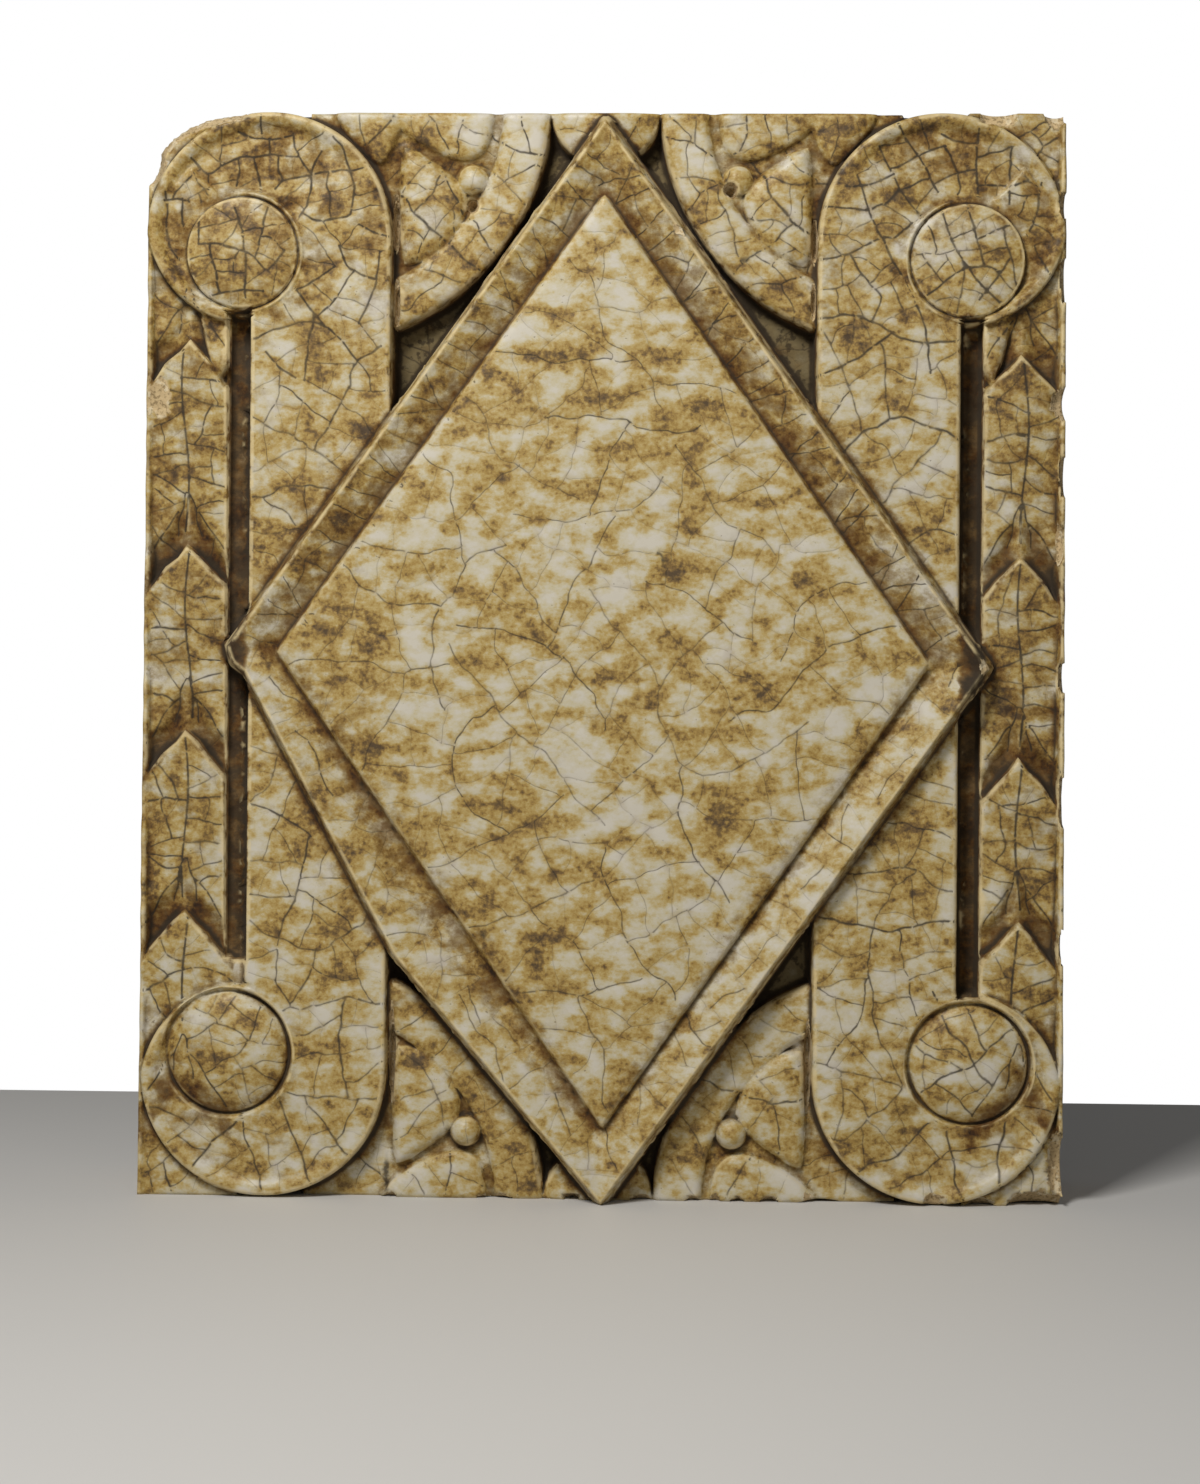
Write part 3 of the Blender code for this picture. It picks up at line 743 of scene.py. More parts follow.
def add_crack(path, breadth, strength, hair=False):
    """Keep a crack, block the way for later ones and bring the distances up to date."""
    path = np.array(path)
    if len(path) < 4:
        return
    cracks.append((path, breadth, strength, hair))
    i, j = squares(*path.T, margin=1)
    for wall in (blocked,) if hair else (blocked, cell_walls):
        wall[i, j] = wall[i, j + 1] = wall[i + 1, j] = True
    thin = path[::2]
    columns, lines = (slice(*np.searchsorted(axis, (at.min() - FARTHEST, at.max() + FARTHEST)))
                      for axis, at in zip((clear_x, clear_z), thin.T))
    away = np.hypot(clear_x[columns, None, None] - thin[:, 0],
                    clear_z[None, lines, None] - thin[:, 1]).min(2)
    np.minimum(clear[columns, lines], away, out=clear[columns, lines])


cracks = []
cell_walls = blocked.copy()
print("squares that stop a crack from the start:", int(blocked.sum()))

# %% [markdown]
# The first cracks follow the shapes: one runs down the middle of every scale, where the clay
# is thickest, rungs cross the border of the lozenge, and the boldest ones of the head scrolls
# are drawn point by point. The rest follow from the rule. A second pass with finer, fainter
# cracks fills in some of what is left.

# %% The boldest cracks of the two head scrolls
# Each is a few points, across and up
DRAWN = [
    [(124, 479), (127, 473), (131, 465), (135, 457), (140, 451), (144, 447)],
    [(132, 490), (138, 480), (142, 475), (147, 467), (151, 458)],
    [(114, 466), (117, 457), (119, 451), (125, 439), (130, 428), (134, 421), (140, 411),
     (144, 401), (146, 393), (148, 376)],
    [(154, 479), (157, 474), (160, 467), (161, 461), (159, 457)],
    [(169, 487), (168, 481), (168, 471), (169, 456)],
    [(184, 479), (183, 465), (183, 453)],
    [(197, 463), (196, 451), (191, 439)],
    [(129, 469), (137, 472), (147, 478), (155, 480)],
    [(109, 461), (117, 461), (128, 465)],
    [(101, 452), (109, 451), (119, 450), (127, 453), (133, 459), (142, 463), (147, 465)],
    [(150, 463), (157, 467), (162, 468), (168, 469)],
    [(169, 462), (177, 462), (184, 461), (190, 464), (197, 461)],
    [(99, 428), (105, 429), (111, 430), (118, 434), (125, 438), (131, 437), (136, 442),
     (143, 447)],
    [(111, 430), (116, 422), (121, 416), (126, 411), (124, 404), (122, 401)],
    [(168, 481), (157, 482), (152, 485)],
    [(101, 401), (109, 403), (117, 402), (127, 397), (134, 392), (146, 390), (160, 391)],
    [(131, 395), (123, 389), (113, 382), (105, 378), (97, 375)],
    [(152, 450), (155, 441), (160, 430), (164, 424), (169, 417), (174, 412), (182, 406)],
    [(165, 449), (167, 441), (170, 431), (172, 425)],
    [(148, 413), (155, 419), (163, 424), (173, 425), (179, 422), (183, 429)],
    [(171, 438), (177, 441), (185, 444)],
    [(179, 422), (174, 415), (169, 409)],
    [(-157, 490), (-157, 484)],
    [(-168, 485), (-162, 483), (-153, 482), (-142, 484)],
    [(-153, 482), (-153, 476)],
    [(-189, 473), (-183, 467), (-181, 466), (-174, 471), (-167, 474), (-159, 474), (-152, 475),
     (-142, 474)],
    [(-181, 466), (-181, 458)],
    [(-168, 474), (-167, 468), (-168, 460)],
    [(-160, 473), (-158, 465), (-157, 459)],
    [(-149, 474), (-149, 468), (-147, 463), (-151, 459)],
    [(-147, 463), (-140, 465), (-134, 466), (-124, 467), (-114, 468), (-107, 469)],
    [(-142, 484), (-142, 478), (-138, 471), (-134, 466), (-134, 458), (-136, 451), (-140, 444)],
    [(-134, 466), (-132, 472), (-129, 477)],
    [(-137, 448), (-132, 445), (-126, 445), (-116, 447), (-114, 456), (-114, 462), (-117, 470),
     (-119, 478), (-124, 483)],
    [(-201, 454), (-195, 455), (-189, 453)],
    [(-200, 458), (-200, 440), (-199, 433), (-193, 426)],
    [(-193, 455), (-193, 447), (-192, 441)],
    [(-185, 434), (-178, 434), (-170, 432), (-162, 430), (-159, 428), (-153, 421), (-145, 431)],
    [(-168, 450), (-165, 441), (-163, 428), (-163, 420), (-163, 409)],
    [(-154, 448), (-156, 438), (-158, 430)],
    [(-176, 411), (-168, 412), (-160, 413), (-154, 412)],
    [(-185, 446), (-185, 440), (-185, 434)],
    [(-121, 433), (-117, 424), (-110, 420), (-104, 418)],
    [(-140, 413), (-132, 417), (-122, 424)],
    [(-140, 413), (-134, 405), (-127, 397), (-119, 390), (-112, 381)],
    [(-154, 385), (-147, 377), (-140, 373)],
    [(-132, 400), (-134, 390), (-135, 380), (-136, 372)],
    [(-112, 443), (-106, 440), (-100, 438)],
    [(-102, 430), (-104, 415), (-108, 405), (-112, 397)],
    [(-112, 381), (-105, 385), (-101, 388)]]


def drawn_path(points):
    """Even steps along a drawn crack, with its corners softened and a little sway."""
    points = np.array(points, float)
    lengths = lengths_along(points)
    path = places_at(np.arange(0, lengths[-1], CRACK_STEP), lengths, points)
    for _ in range(5):
        path[1:-1] = (path[:-2] + 2 * path[1:-1] + path[2:]) / 4
    return path + 0.5 * np.stack([lumps(*path.T, 4, 93), lumps(*path.T, 4, 94)], 1)


drawn = [drawn_path(points) for points in DRAWN]
print("drawn cracks:", len(drawn))

# %% Cracks that follow the shapes
# For each side of the lozenge, from one corner to the next: shortest and longest gap between
# rungs, and their strength
RUNGS = [((10, 24), 0.45), ((6, 13), 1), ((7, 15), 0.9), ((9, 20), 0.5)]


def lengthened(path, reach=4.5):
    """The path carried on at its end to what lies close ahead, if anything does."""
    run = path[-1] - path[-4]
    steps = np.arange(1, reach / CRACK_STEP)[:, None] * CRACK_STEP
    ahead = path[-1] + run / np.hypot(*run) * steps
    for count, (x, z) in enumerate(ahead, 1):
        if blocked[index_of(x, z)]:
            return np.concatenate([path, ahead[:count]])
    return path


def rung(foot, inward, along):
    """A crack from outside the ridge to the field's edge, swaying a little sideways."""
    reach = np.arange(-1.6, BORDER - 0.6, CRACK_STEP)
    sway = np.cumsum(crack_dice.normal(0, 0.26, len(reach)) + crack_dice.normal(0, 0.28))
    return foot + inward * reach[:, None] + along * sway[:, None]


for side in (-1, 1):
    # One down the middle of each scale
    for tip, foot in zip(SCALE_TIPS[side], SCALE_TIPS[side][1:] + (COLUMN_FOOT + 24,)):
        rise = np.arange(foot + 6, tip - 2, CRACK_STEP)
        sway = 1.6 * np.sin((rise - foot) / 14 + side + tip) + crack_dice.uniform(-1.5, 1.5)
        add_crack(np.stack([side * SCALE_X + sway, rise], 1)[::-1], 0.95, 1)
    # A pair beside the keel above each point, and a pair round the hollows beside it
    for tip in SCALE_TIPS[side] + (COLUMN_FOOT,):
        share = np.linspace(0, 1, 34)
        sway = 0.5 * np.sin(share * 9 + tip)
        for way in (-1, 1):
            flame = way * (5 * (1 - share) ** 0.7 + 0.4) + sway
            add_crack(np.stack([side * SCALE_X + flame, tip + 4 + 20 * share], 1), 0.7, 0.9)
            lip = side * SCALE_X + way * (4 + 16 * share + sway)
            add_crack(np.stack([lip, tip + 15 - 24 * share ** 1.2], 1), 0.8, 0.9)
# All the drawn cracks stop each other before the first of them is lengthened
for path in drawn:
    for x, z in path:
        blocked[index_of(x, z)] = True
for path in drawn:
    add_crack(lengthened(lengthened(path)[::-1]), 0.95, 1)
# Rungs across the border, side by side from corner to corner
tips = [np.array(tip) for tip in RIDGE_TIPS]
for start, end, ((shortest, longest), strength) in zip(tips, tips[1:] + tips[:1], RUNGS):
    length = np.hypot(*(end - start))
    along = (end - start) / length
    inward = np.array([-along[1], along[0]])
    at = crack_dice.uniform(14, 22)
    while at < length - 16:
        add_crack(rung(start + along * at, inward, along), 0.62 * strength ** 0.4,
                  strength * crack_dice.uniform(0.7, 1))
        at += crack_dice.uniform(shortest, longest)
print("cracks along the shapes:", len(cracks))

# %% Let the glaze crack
chance = crack_dice.uniform(0.85, 1.15, clear.shape)


def craze(limit, ease, hair):
    """Crack the widest place again and again until no place is wide for its target."""
    for count in range(limit):
        score = clear / (want * ease) * chance
        spot = np.unravel_index(np.argmax(score), score.shape)
        if score[spot] < 1:
            return count
        x, z = clear_x[spot[0]], clear_z[spot[1]]
        if hair and crack_dice.uniform() < 0.35:
            clear[max(spot[0] - 3, 0):spot[0] + 4, max(spot[1] - 3, 0):spot[1] + 4] *= 0.5
            continue
        heading = shortest_way(x, z)
        bend = crack_dice.normal(0, 0.011)
        fore = run_crack(x, z, heading, bend, crack_dice.uniform(24, 60))
        aft = run_crack(x, z, heading + math.pi, -bend, crack_dice.uniform(24, 60))
        # The wider the place was for its target, the older, broader and darker the crack
        rank = min(max((score[spot] - 1) / 1.6, 0), 1)
        field = deep_in[spot] > BORDER
        flank = ramp(abs(x), 165, 180) * 0.2
        breadth = (0.5 + 0.2 * rank) * crack_dice.uniform(0.8, 1.2)
        breadth *= 0.9 if field else 1.25 + 0.05 * upper[spot] + flank
        strength = min((0.66 + 0.3 * rank) * crack_dice.uniform(0.7, 1.15), 1)
        strength *= 0.8 if field else 0.92 + 0.18 * max(upper[spot], flank * 5)
        if hair:
            breadth, strength = 0.36, crack_dice.uniform(0.3, 0.55)
        before = len(cracks)
        add_crack(aft[::-1] + [(x, z)] + fore, breadth, strength, hair)
        if len(cracks) == before:
            clear[spot] = 0
    return limit


wide_cracks = craze(2600, 1, False)
hair_cracks = craze(900, 0.72, True)
length = sum(len(path) * CRACK_STEP for path, *_ in cracks)
print("cracks:", wide_cracks, "fine cracks:", hair_cracks,
      "metres in all:", round(length / 1000, 1))

# %% [markdown]
# The plates between the cracks took up dirt and iron unevenly, so they differ in tone. Filling
# each plate with the highest number found in it gives every plate a number of its own, and the
# number picks a tone.

# %% A tone for each plate of glaze
def spread(values, steps, take):
    """Let every square take from its four neighbours, step after step."""
    for _ in range(steps):
        for axis in (0, 1):
            for shift in (1, -1):
                values = take(values, np.roll(values, shift, axis))
    return values


labels = np.where(cell_walls, -1, np.arange(cell_walls.size).reshape(cell_walls.shape))
labels = spread(labels, 70, lambda own, near: np.where(cell_walls, -1, np.maximum(own, near)))
labels = spread(labels, 5, lambda own, near: np.where(own < 0, near, own))
tone_map = np.random.RandomState(41).uniform(-1, 1, 9973)[labels % 9973]
print("plates:", len(np.unique(labels)))

# %% [markdown]
# ## Where to put the vertices
# A plain grid fine enough for the sharp rims would need millions of faces, so vertices go where
# the shape bends: rows along every outline, at its rim, down its wall and at its foot. A crack
# is a row of dark points between two rows of clean ones. A loose scatter fills the rest, and
# Blender's Delaunay function joins it all into triangles.

# %% Points in order of importance
class Pattern:
    """Points that will become vertices. A later point gives way to an earlier one near it."""
    cell = 1.6

    def __init__(self):
        self.places, self.dark, self.aside, self.joins = [], [], [], []
        self.cells = {}

    def add(self, x, z, gap, dark=0.0, aside=None):
        """Add a point unless another is nearer than the gap. Gives its number or -1."""
        column, line = int(x // self.cell), int(z // self.cell)
        for near_column in (column - 1, column, column + 1):
            for near_line in (line - 1, line, line + 1):
                for px, pz in self.cells.get((near_column, near_line), ()):
                    if (px - x) ** 2 + (pz - z) ** 2 < gap * gap:
                        return -1
        self.cells.setdefault((column, line), []).append((x, z))
        self.places.append((x, z))
        self.dark.append(dark)
        self.aside.append(aside or (x, z))
        return len(self.places) - 1

    def loose(self, points, keep, gap):
        """Add the points to keep, each on its own. Gives their numbers, -1 where left out."""
        return [self.add(x, z, gap) if good else -1
                for (x, z), good in zip(points.tolist(), keep.tolist())]

    def row(self, points, keep, gap, longest):
        """Add a closed row of points and join neighbours that are both kept."""
        numbers = self.loose(points, keep, gap)
        for number, (first, second) in enumerate(zip(numbers, numbers[1:] + numbers[:1])):
            run = points[(number + 1) % len(points)] - points[number]
            if first >= 0 and second >= 0 and math.hypot(*run) < longest:
                self.joins.append((first, second))


pattern = Pattern()
print("hash cell in mm:", pattern.cell)

# %% [markdown]
# The edge of the block comes first. Its sides draw in towards the head, the broken corner cuts
# it, and the chips bite into it. More points are put in where the relief steps up or down.

# %% Line round the block
GROOVES = [HEIGHT * n / 6 for n in range(1, 6)]
GROOVE_HALF, GROOVE_SLOPE, GROOVE_DEPTH = 6, 0.4, 4
# Heights at which the slopes of the grooves begin and end
GROOVE_STOPS = [z + s for z in GROOVES for s in (-GROOVE_HALF, -GROOVE_HALF + GROOVE_SLOPE,
                                                 GROOVE_HALF - GROOVE_SLOPE, GROOVE_HALF)]
EDGE_STEP = 1.8
edge_dice = np.random.RandomState(5)


def edge_line():
    """Corners of the block and stops along its sides, counter-clockwise from the left foot."""
    line = [(-FOOT_HALF_WIDTH, 0), (FOOT_HALF_WIDTH, 0)]
    line += [(half_width_at(z), z) for z in GROOVE_STOPS]
    line += [(HEAD_HALF_WIDTH, HEIGHT)] + BREAK_LINE
    line += [(-half_width_at(z), z) for z in [BREAK_FOOT] + GROOVE_STOPS[::-1]]
    return line


def edge_points():
    """The edge in short steps. The broken stretch is rough, and the rest wavers a little."""
    line = edge_line()
    points = []
    for (ax, az), (bx, bz) in zip(line, line[1:] + line[:1]):
        broken = (ax, az) in BREAK_LINE
        parts = max(1, round(math.hypot(bx - ax, bz - az) / (1 if broken else EDGE_STEP)))
        for share in np.arange(parts) / parts:
            x, z = ax + (bx - ax) * share, az + (bz - az) * share
            if broken and share:
                x += edge_dice.uniform(-0.1, 0.6)
                z -= edge_dice.uniform(-0.1, 0.6)
            points.append((x, z))
    return np.array(points)


print("corners and stops of the edge:", len(edge_line()))

# %% Edge of the block, bitten by the chips
def steeply_split(points, passes=3):
    """Put a point between neighbours whose heights differ much."""
    for _ in range(passes):
        ahead = np.roll(points, -1, axis=0)
        rise = np.abs(front(*points.T)[0] - front(*ahead.T)[0])
        middle = (points + ahead) / 2
        far = np.hypot(*(ahead - points).T) > 0.5
        points = np.array([p for a, m, cut in zip(points, middle, (rise > 1.5) & far)
                           for p in ((a, m) if cut else (a,))])
    return points


def bitten(points):
    """Draw the edge in at the chips and let it waver."""
    x, z = points.T.copy()
    pull = np.zeros(len(x))
    for cx, cz, rise, across, up, deep in CHIPS:
        away = np.hypot((x - cx) / across, (z - cz) / up)
        pull = np.maximum(pull, 0.22 * min(across, up) * np.maximum(1 - away ** 2, 0))
    upright = (z > 0.01) & (z < HEIGHT - 0.01)
    wobble = 0.2 + 0.12 * lumps(x, z, 23, 51) + 0.08 * lumps(x, z, 6, 52)
    x -= np.sign(x) * np.where(upright | (np.abs(x) > HEAD_HALF_WIDTH - 1), wobble + pull, 0)
    level = np.where(z > HEIGHT - 0.01, -(wobble + pull), np.where(z < 0.01, 0.1 + 0.6 * pull, 0))
    return np.stack([x, z + level], 1)


whole_edge = steeply_split(edge_points())
edge = bitten(whole_edge)
added = np.array(pattern.loose(edge, np.ones(len(edge), bool), 0.02)) >= 0
whole_edge, edge = whole_edge[added], edge[added]
loop_count = len(edge)
pattern.joins += [(n, (n + 1) % loop_count) for n in range(loop_count)]
print("points on the edge:", loop_count)

# %% Rows along an outline
CORNER_TURN = math.radians(25)


def walk(outline, step):
    """Evenly spaced points on an outline and the way inwards at each, longer at corners."""
    count = len(outline)
    ahead = np.roll(outline, -1, axis=0) - outline
    heading = np.arctan2(ahead[:, 1], ahead[:, 0])
    turn = (heading - np.roll(heading, 1) + np.pi) % (2 * np.pi) - np.pi
    corners = list(np.nonzero(np.abs(turn) > CORNER_TURN)[0]) or [0]
    points, pulls = [], []
    for first, last in zip(corners, corners[1:] + [corners[0] + count]):
        piece = outline[np.arange(first, last + 1) % count]
        lengths = lengths_along(piece)
        parts = max(1, round(lengths[-1] / step))
        at = np.arange(parts) * lengths[-1] / parts
        run = (places_at(np.minimum(at + step / 2, lengths[-1]), lengths, piece)
               - places_at(np.maximum(at - step / 2, 0), lengths, piece))
        pull = left_of(run) / np.hypot(*run.T)[:, None]
        middle = heading[first] - turn[first] / 2
        pull[0] = np.array([-math.sin(middle), math.cos(middle)]) / math.cos(turn[first] / 2)
        points.append(places_at(at, lengths, piece))
        pulls.append(pull)
    return np.concatenate(points), np.concatenate(pulls)


print("points round the lozenge:", len(walk(lozenge.outline, lozenge.step)[0]))

# %% Rows of one form
crack_mask = np.zeros(blocked.shape, bool)
for path, *_ in cracks:
    crack_mask[squares(*path.T)] = True
crack_away = distance_from(crack_mask, 5) * PITCH
EDGE_CLEAR, CRACK_CLEAR, SLOT_CLEAR = 0.55, 1.25, 1.1
ROW_GAP = 0.3


def well_inside(points):
    """Which points are far enough inside the edge of the block."""
    return inside(*points.T, edge) > EDGE_CLEAR


def off_cracks(points, gap=CRACK_CLEAR):
    """Which points are clear of the cracks and their sides."""
    return look_up(crack_away, *points.T) > gap


def off_slots(points):
    """Which points are clear of the slots and their edges."""
    return np.all([inside(*points.T, slot.outline) < -SLOT_CLEAR for slot in slots], axis=0)


def off_lozenge(points):
    """Which points are clear of the lozenge and its wall."""
    return inside(*points.T, lozenge.outline) < -4


def add_rows(form, outline, offsets, step, firm):
    """Rows at the given depths inside an outline, where the form is on top.
    Those deeper than firm give way to cracks."""
    points, pulls = walk(outline, step)
    for offset in offsets:
        moved = points + pulls * offset
        keep = (np.abs(inside(*moved.T, outline) - offset) < 0.15) & well_inside(moved)
        keep &= form.height(*moved.T) > relief(*moved.T)[0] - 0.9
        if form is not lozenge:
            keep &= off_slots(moved)
        if offset > firm:
            keep &= off_cracks(moved)
        pattern.row(moved, keep, ROW_GAP, step * 2)


def add_feet(form, outline, step):
    """Rows where the wall of a form meets what is behind it, half way down and in front."""
    points, pulls = walk(outline, step)
    out = np.linspace(0, form.margin, 24)
    trial = (points[:, None] - pulls[:, None] * out[None, :, None]).reshape(-1, 2)
    own = form.height(*trial.T).reshape(len(points), -1)
    behind = relief(*trial.T, skip=form)[0].reshape(len(points), -1)
    stands = own > behind + 0.05
    stands &= np.logical_and.accumulate(stands, axis=1)
    count = stands.sum(1)
    foot = out[np.clip(count, 0, len(out) - 1)]
    wall = foot > 0.25
    for share, more in ((1, 0), (0.5, 0), (1, 0.9), (1, 2.6)):
        moved = points - pulls * (foot * share + more)[:, None]
        keep = wall & well_inside(moved)
        if form is not lozenge:
            keep &= off_slots(moved)
        if share < 1:
            keep &= foot > 0.9
        if more > 0:
            keep &= off_cracks(moved)
        if more < 1:
            pattern.row(moved, keep, ROW_GAP, step * 2)
        else:
            pattern.loose(moved, keep, 0.9)


print("squares on a crack:", int(crack_mask.sum()))

# %% Rows of all the forms
for slot in slots:
    points, pulls = walk(slot.outline, 2.2)
    for offset in (-0.7, 0, SLOT_WALL, 2.6):
        moved = points + pulls * offset
        keep = np.abs(inside(*moved.T, slot.outline) - offset) < 0.2
        keep &= off_lozenge(moved)
        for x, z, radius in eyes:
            keep &= np.hypot(moved[:, 0] - x, moved[:, 1] - z) > radius + 2
        pattern.row(moved, keep, ROW_GAP, 5)
for form in low_forms + [lozenge]:
    add_rows(form, form.outline, form.rows, form.step, max(form.rim + 0.1, 1.4))
    add_feet(form, form.outline, form.step)
add_rows(lozenge, np.array(FIELD_TIPS), FIELD_ROWS, lozenge.step, 1)
add_rows(lozenge, np.array(FIELD_TIPS), FIELD_BESIDE, lozenge.step, -9)
print("points with the rows:", len(pattern.places))

# %% Rows round the eyes, the pits and the block
EYE_ROWS = (5, 3.6, 2.9, 2.2, 1.5, 0.8, 0.2, -0.4, -1, -1.6, -2.8, -5, -8.5, -13, -18, -22)
for x, z, radius in eyes:
    for more in EYE_ROWS:
        reach = radius + more
        count = max(8, int(2 * math.pi * reach / 2.6))
        ring = np.array(arc(x, z, reach, 0, 360 - 360 / count, count - 1))
        keep = well_inside(ring) & off_lozenge(ring)
        if more < -2 or more > 4:
            keep &= off_cracks(ring)
        pattern.row(ring, keep, ROW_GAP, 6)
for x, z, across, up, deep in PITS:
    for share in (1, 0.7, 0.4):
        turns = np.linspace(0, 2 * np.pi, max(10, int(up * 5)), endpoint=False)
        ring = np.stack([x + across * share * np.cos(turns), z + up * share * np.sin(turns)], 1)
        pattern.row(ring, well_inside(ring) & off_lozenge(ring), ROW_GAP, 6)
points, pulls = walk(edge, 2.2)
for offset in (1.2, 2.8):
    moved = points + pulls * offset
    pattern.loose(moved, np.abs(inside(*moved.T, edge) - offset) < 0.3, 0.6)
print("points with eyes and pits:", len(pattern.places))

# %% Stretches of a crack
CRACK_SPACING = 2
# Least distance from an earlier point for the dark middle of a crack and for its clean sides
MIDDLE_GAP, SIDE_GAP = 0.45, 0.22
# How far to the side of a crack the tone of its plate is read
TONE_ASIDE = 1.6
STRETCH_CELL = 3
width_dice = np.random.RandomState(9)


def thin_out(path):
    """Evenly spaced places along a crack, with one more close to each end, and its left side."""
    lengths = lengths_along(path)
    total = lengths[-1]
    at = np.linspace(0, total, max(2, int(round(total / CRACK_SPACING))) + 1)
    places = places_at(np.unique(np.concatenate([at, [0.9, total - 0.9]])), lengths, path)
    run = np.gradient(places, axis=0)
    return places, left_of(run / np.maximum(np.hypot(*run.T), 1e-6)[:, None])


def segment_cells(a, b):
    """Hash cells that a short stretch touches."""
    return {tuple(int((a[k] + (b[k] - a[k]) * t) // STRETCH_CELL) for k in (0, 1))
            for t in (0, 0.33, 0.67, 1)}


def on_another(x, z, own):
    """Is the point within the dark of another crack?"""
    column, line = int(x // STRETCH_CELL), int(z // STRETCH_CELL)
    for i in (column - 1, column, column + 1):
        for j in (line - 1, line, line + 1):
            for number, a, b, breadth in stretches.get((i, j), ()):
                if number == own:
                    continue
                run_x, run_z = b[0] - a[0], b[1] - a[1]
                share = ((x - a[0]) * run_x + (z - a[1]) * run_z) / (run_x ** 2 + run_z ** 2 + 1e-9)
                share = min(max(share, 0), 1)
                off = math.hypot(x - a[0] - share * run_x, z - a[1] - share * run_z)
                if off < 0.75 * breadth:
                    return True
    return False


print("places along the first crack:", len(thin_out(cracks[0][0])[0]))

# %% Rows along the cracks
stretches, lines = {}, []
for number, (path, breadth, strength, hair) in enumerate(cracks):
    places, left = thin_out(path)
    widths = breadth * width_dice.uniform(0.8, 1.25, len(places))
    darks = strength * width_dice.uniform(0.8, 1.1, len(places))
    good = (inside(*places.T, edge) > 0.9) & off_slots(places)
    for (x, z), dark, fine in zip(places.tolist(), darks.tolist(), good.tolist()):
        if fine:
            pattern.add(x, z, MIDDLE_GAP, dark)
    for a, b in zip(places.tolist(), places[1:].tolist()):
        for square in segment_cells(a, b):
            stretches.setdefault(square, []).append((number, a, b, breadth))
    lines.append((places, left, widths, good))
print("points with the cracks' middles:", len(pattern.places))
for number, (places, left, widths, good) in enumerate(lines):
    for sign in (-1, 1):
        moved = places + sign * left * widths[:, None]
        tones = places + sign * left * TONE_ASIDE
        for (x, z), tone_place, fine in zip(moved.tolist(), tones.tolist(), good.tolist()):
            if fine and not on_another(x, z, number):
                pattern.add(x, z, SIDE_GAP, 0.0, tuple(tone_place))
    for tip, before, fine in ((places[0], places[1], good[0]), (places[-1], places[-2], good[-1])):
        x, z = (tip + (tip - before) / max(math.hypot(*(tip - before)), 1e-6) * 0.6).tolist()
        if fine and abs(x) < HEAD_HALF_WIDTH - 2 and not on_another(x, z, number):
            pattern.add(x, z, SIDE_GAP)
print("points with the cracks' sides:", len(pattern.places))

# %% Scatter between the rows
# Dark marks: a run of glaze at the foot, the worn right tip and spots on the border.
# Across, up, half sizes across and up
MARKS = [(-97, 12, 1.5, 5), (-96.6, 6.5, 0.9, 5), (170, 244, 5, 8), (166, 236, 3.5, 5),
         (34.6, 439, 3, 2.4), (63, 428, 1.6, 1), (-52, 121, 1.2, 0.9), (26, 294, 1.6, 0.8),
         (28, 291, 1, 1.2)]
# Distance between scattered points, by form. Chips and marks get the closest.
SPACING = {"band": 3.7, "lozenge": 3.9, "bed": 3}
GROUND_SPACING, OTHER_SPACING, CLOSE_SPACING = 2.3, 2.7, 1.15
# Lines of an even net of triangles are this share of their points' distance apart
LINE_SHARE = 0.866
spacing_map = np.full(owner_map.shape, OTHER_SPACING)
for number, form in enumerate(forms):
    if form.name in SPACING:
        spacing_map[owner_map == number] = SPACING[form.name]
spacing_map[owner_map < 0] = GROUND_SPACING
chipped_map = ramp(ground_map - height_map, 0.1, 0.45)
spacing_map[(chipped_map > 0.05) & on_block] = CLOSE_SPACING
for mx, mz, across, up in MARKS:
    marked = (np.abs(mesh_x - mx) < across * 1.3) & (np.abs(mesh_z - mz) < up * 1.3)
    spacing_map[marked] = CLOSE_SPACING
scatter_dice = np.random.RandomState(13)
for spacing in np.unique(spacing_map):
    x = np.arange(grid_x[0], -grid_x[0], spacing)
    z = np.arange(0, HEIGHT, spacing * LINE_SHARE)
    x, z = (axis.ravel() for axis in np.meshgrid(x, z, indexing="ij"))
    x = x + spacing * 0.5 * (np.round(z / (spacing * LINE_SHARE)) % 2)
    x = x + scatter_dice.uniform(-0.22, 0.22, len(x)) * spacing
    z = z + scatter_dice.uniform(-0.22, 0.22, len(x)) * spacing
    here = squares(x, z)
    points = np.stack([x, z], 1)[(spacing_map[here] == spacing) & on_block[here]]
    if spacing > CLOSE_SPACING:
        points = points[off_cracks(points, 0.95)]
    pattern.loose(points, inside(*points.T, edge) > 0.8, min(spacing * 0.5, 1.55))
print("points in all:", len(pattern.places))

# %% [markdown]
# ## The block as one closed mesh
# Delaunay triangulation joins the points of the front. Its open border then gives the sides,
# row behind row, and the same border closes the back, where five level grooves give mortar
# a key. Every edge must end up in exactly two faces.

# %% Triangles of the front
def signed_area(places, face):
    """Twice the area of a triangle, positive where its corners run counter-clockwise."""
    (ax, az), (bx, bz), (cx, cz) = places[list(face)]
    return (bx - ax) * (cz - az) - (cx - ax) * (bz - az)


joined, _, triangles, origins, _, _ = delaunay_2d_cdt(
    [Vector(p) for p in pattern.places], pattern.joins, [list(range(loop_count))], 1, 1e-5, True)
front_places = np.array([tuple(p) for p in joined])
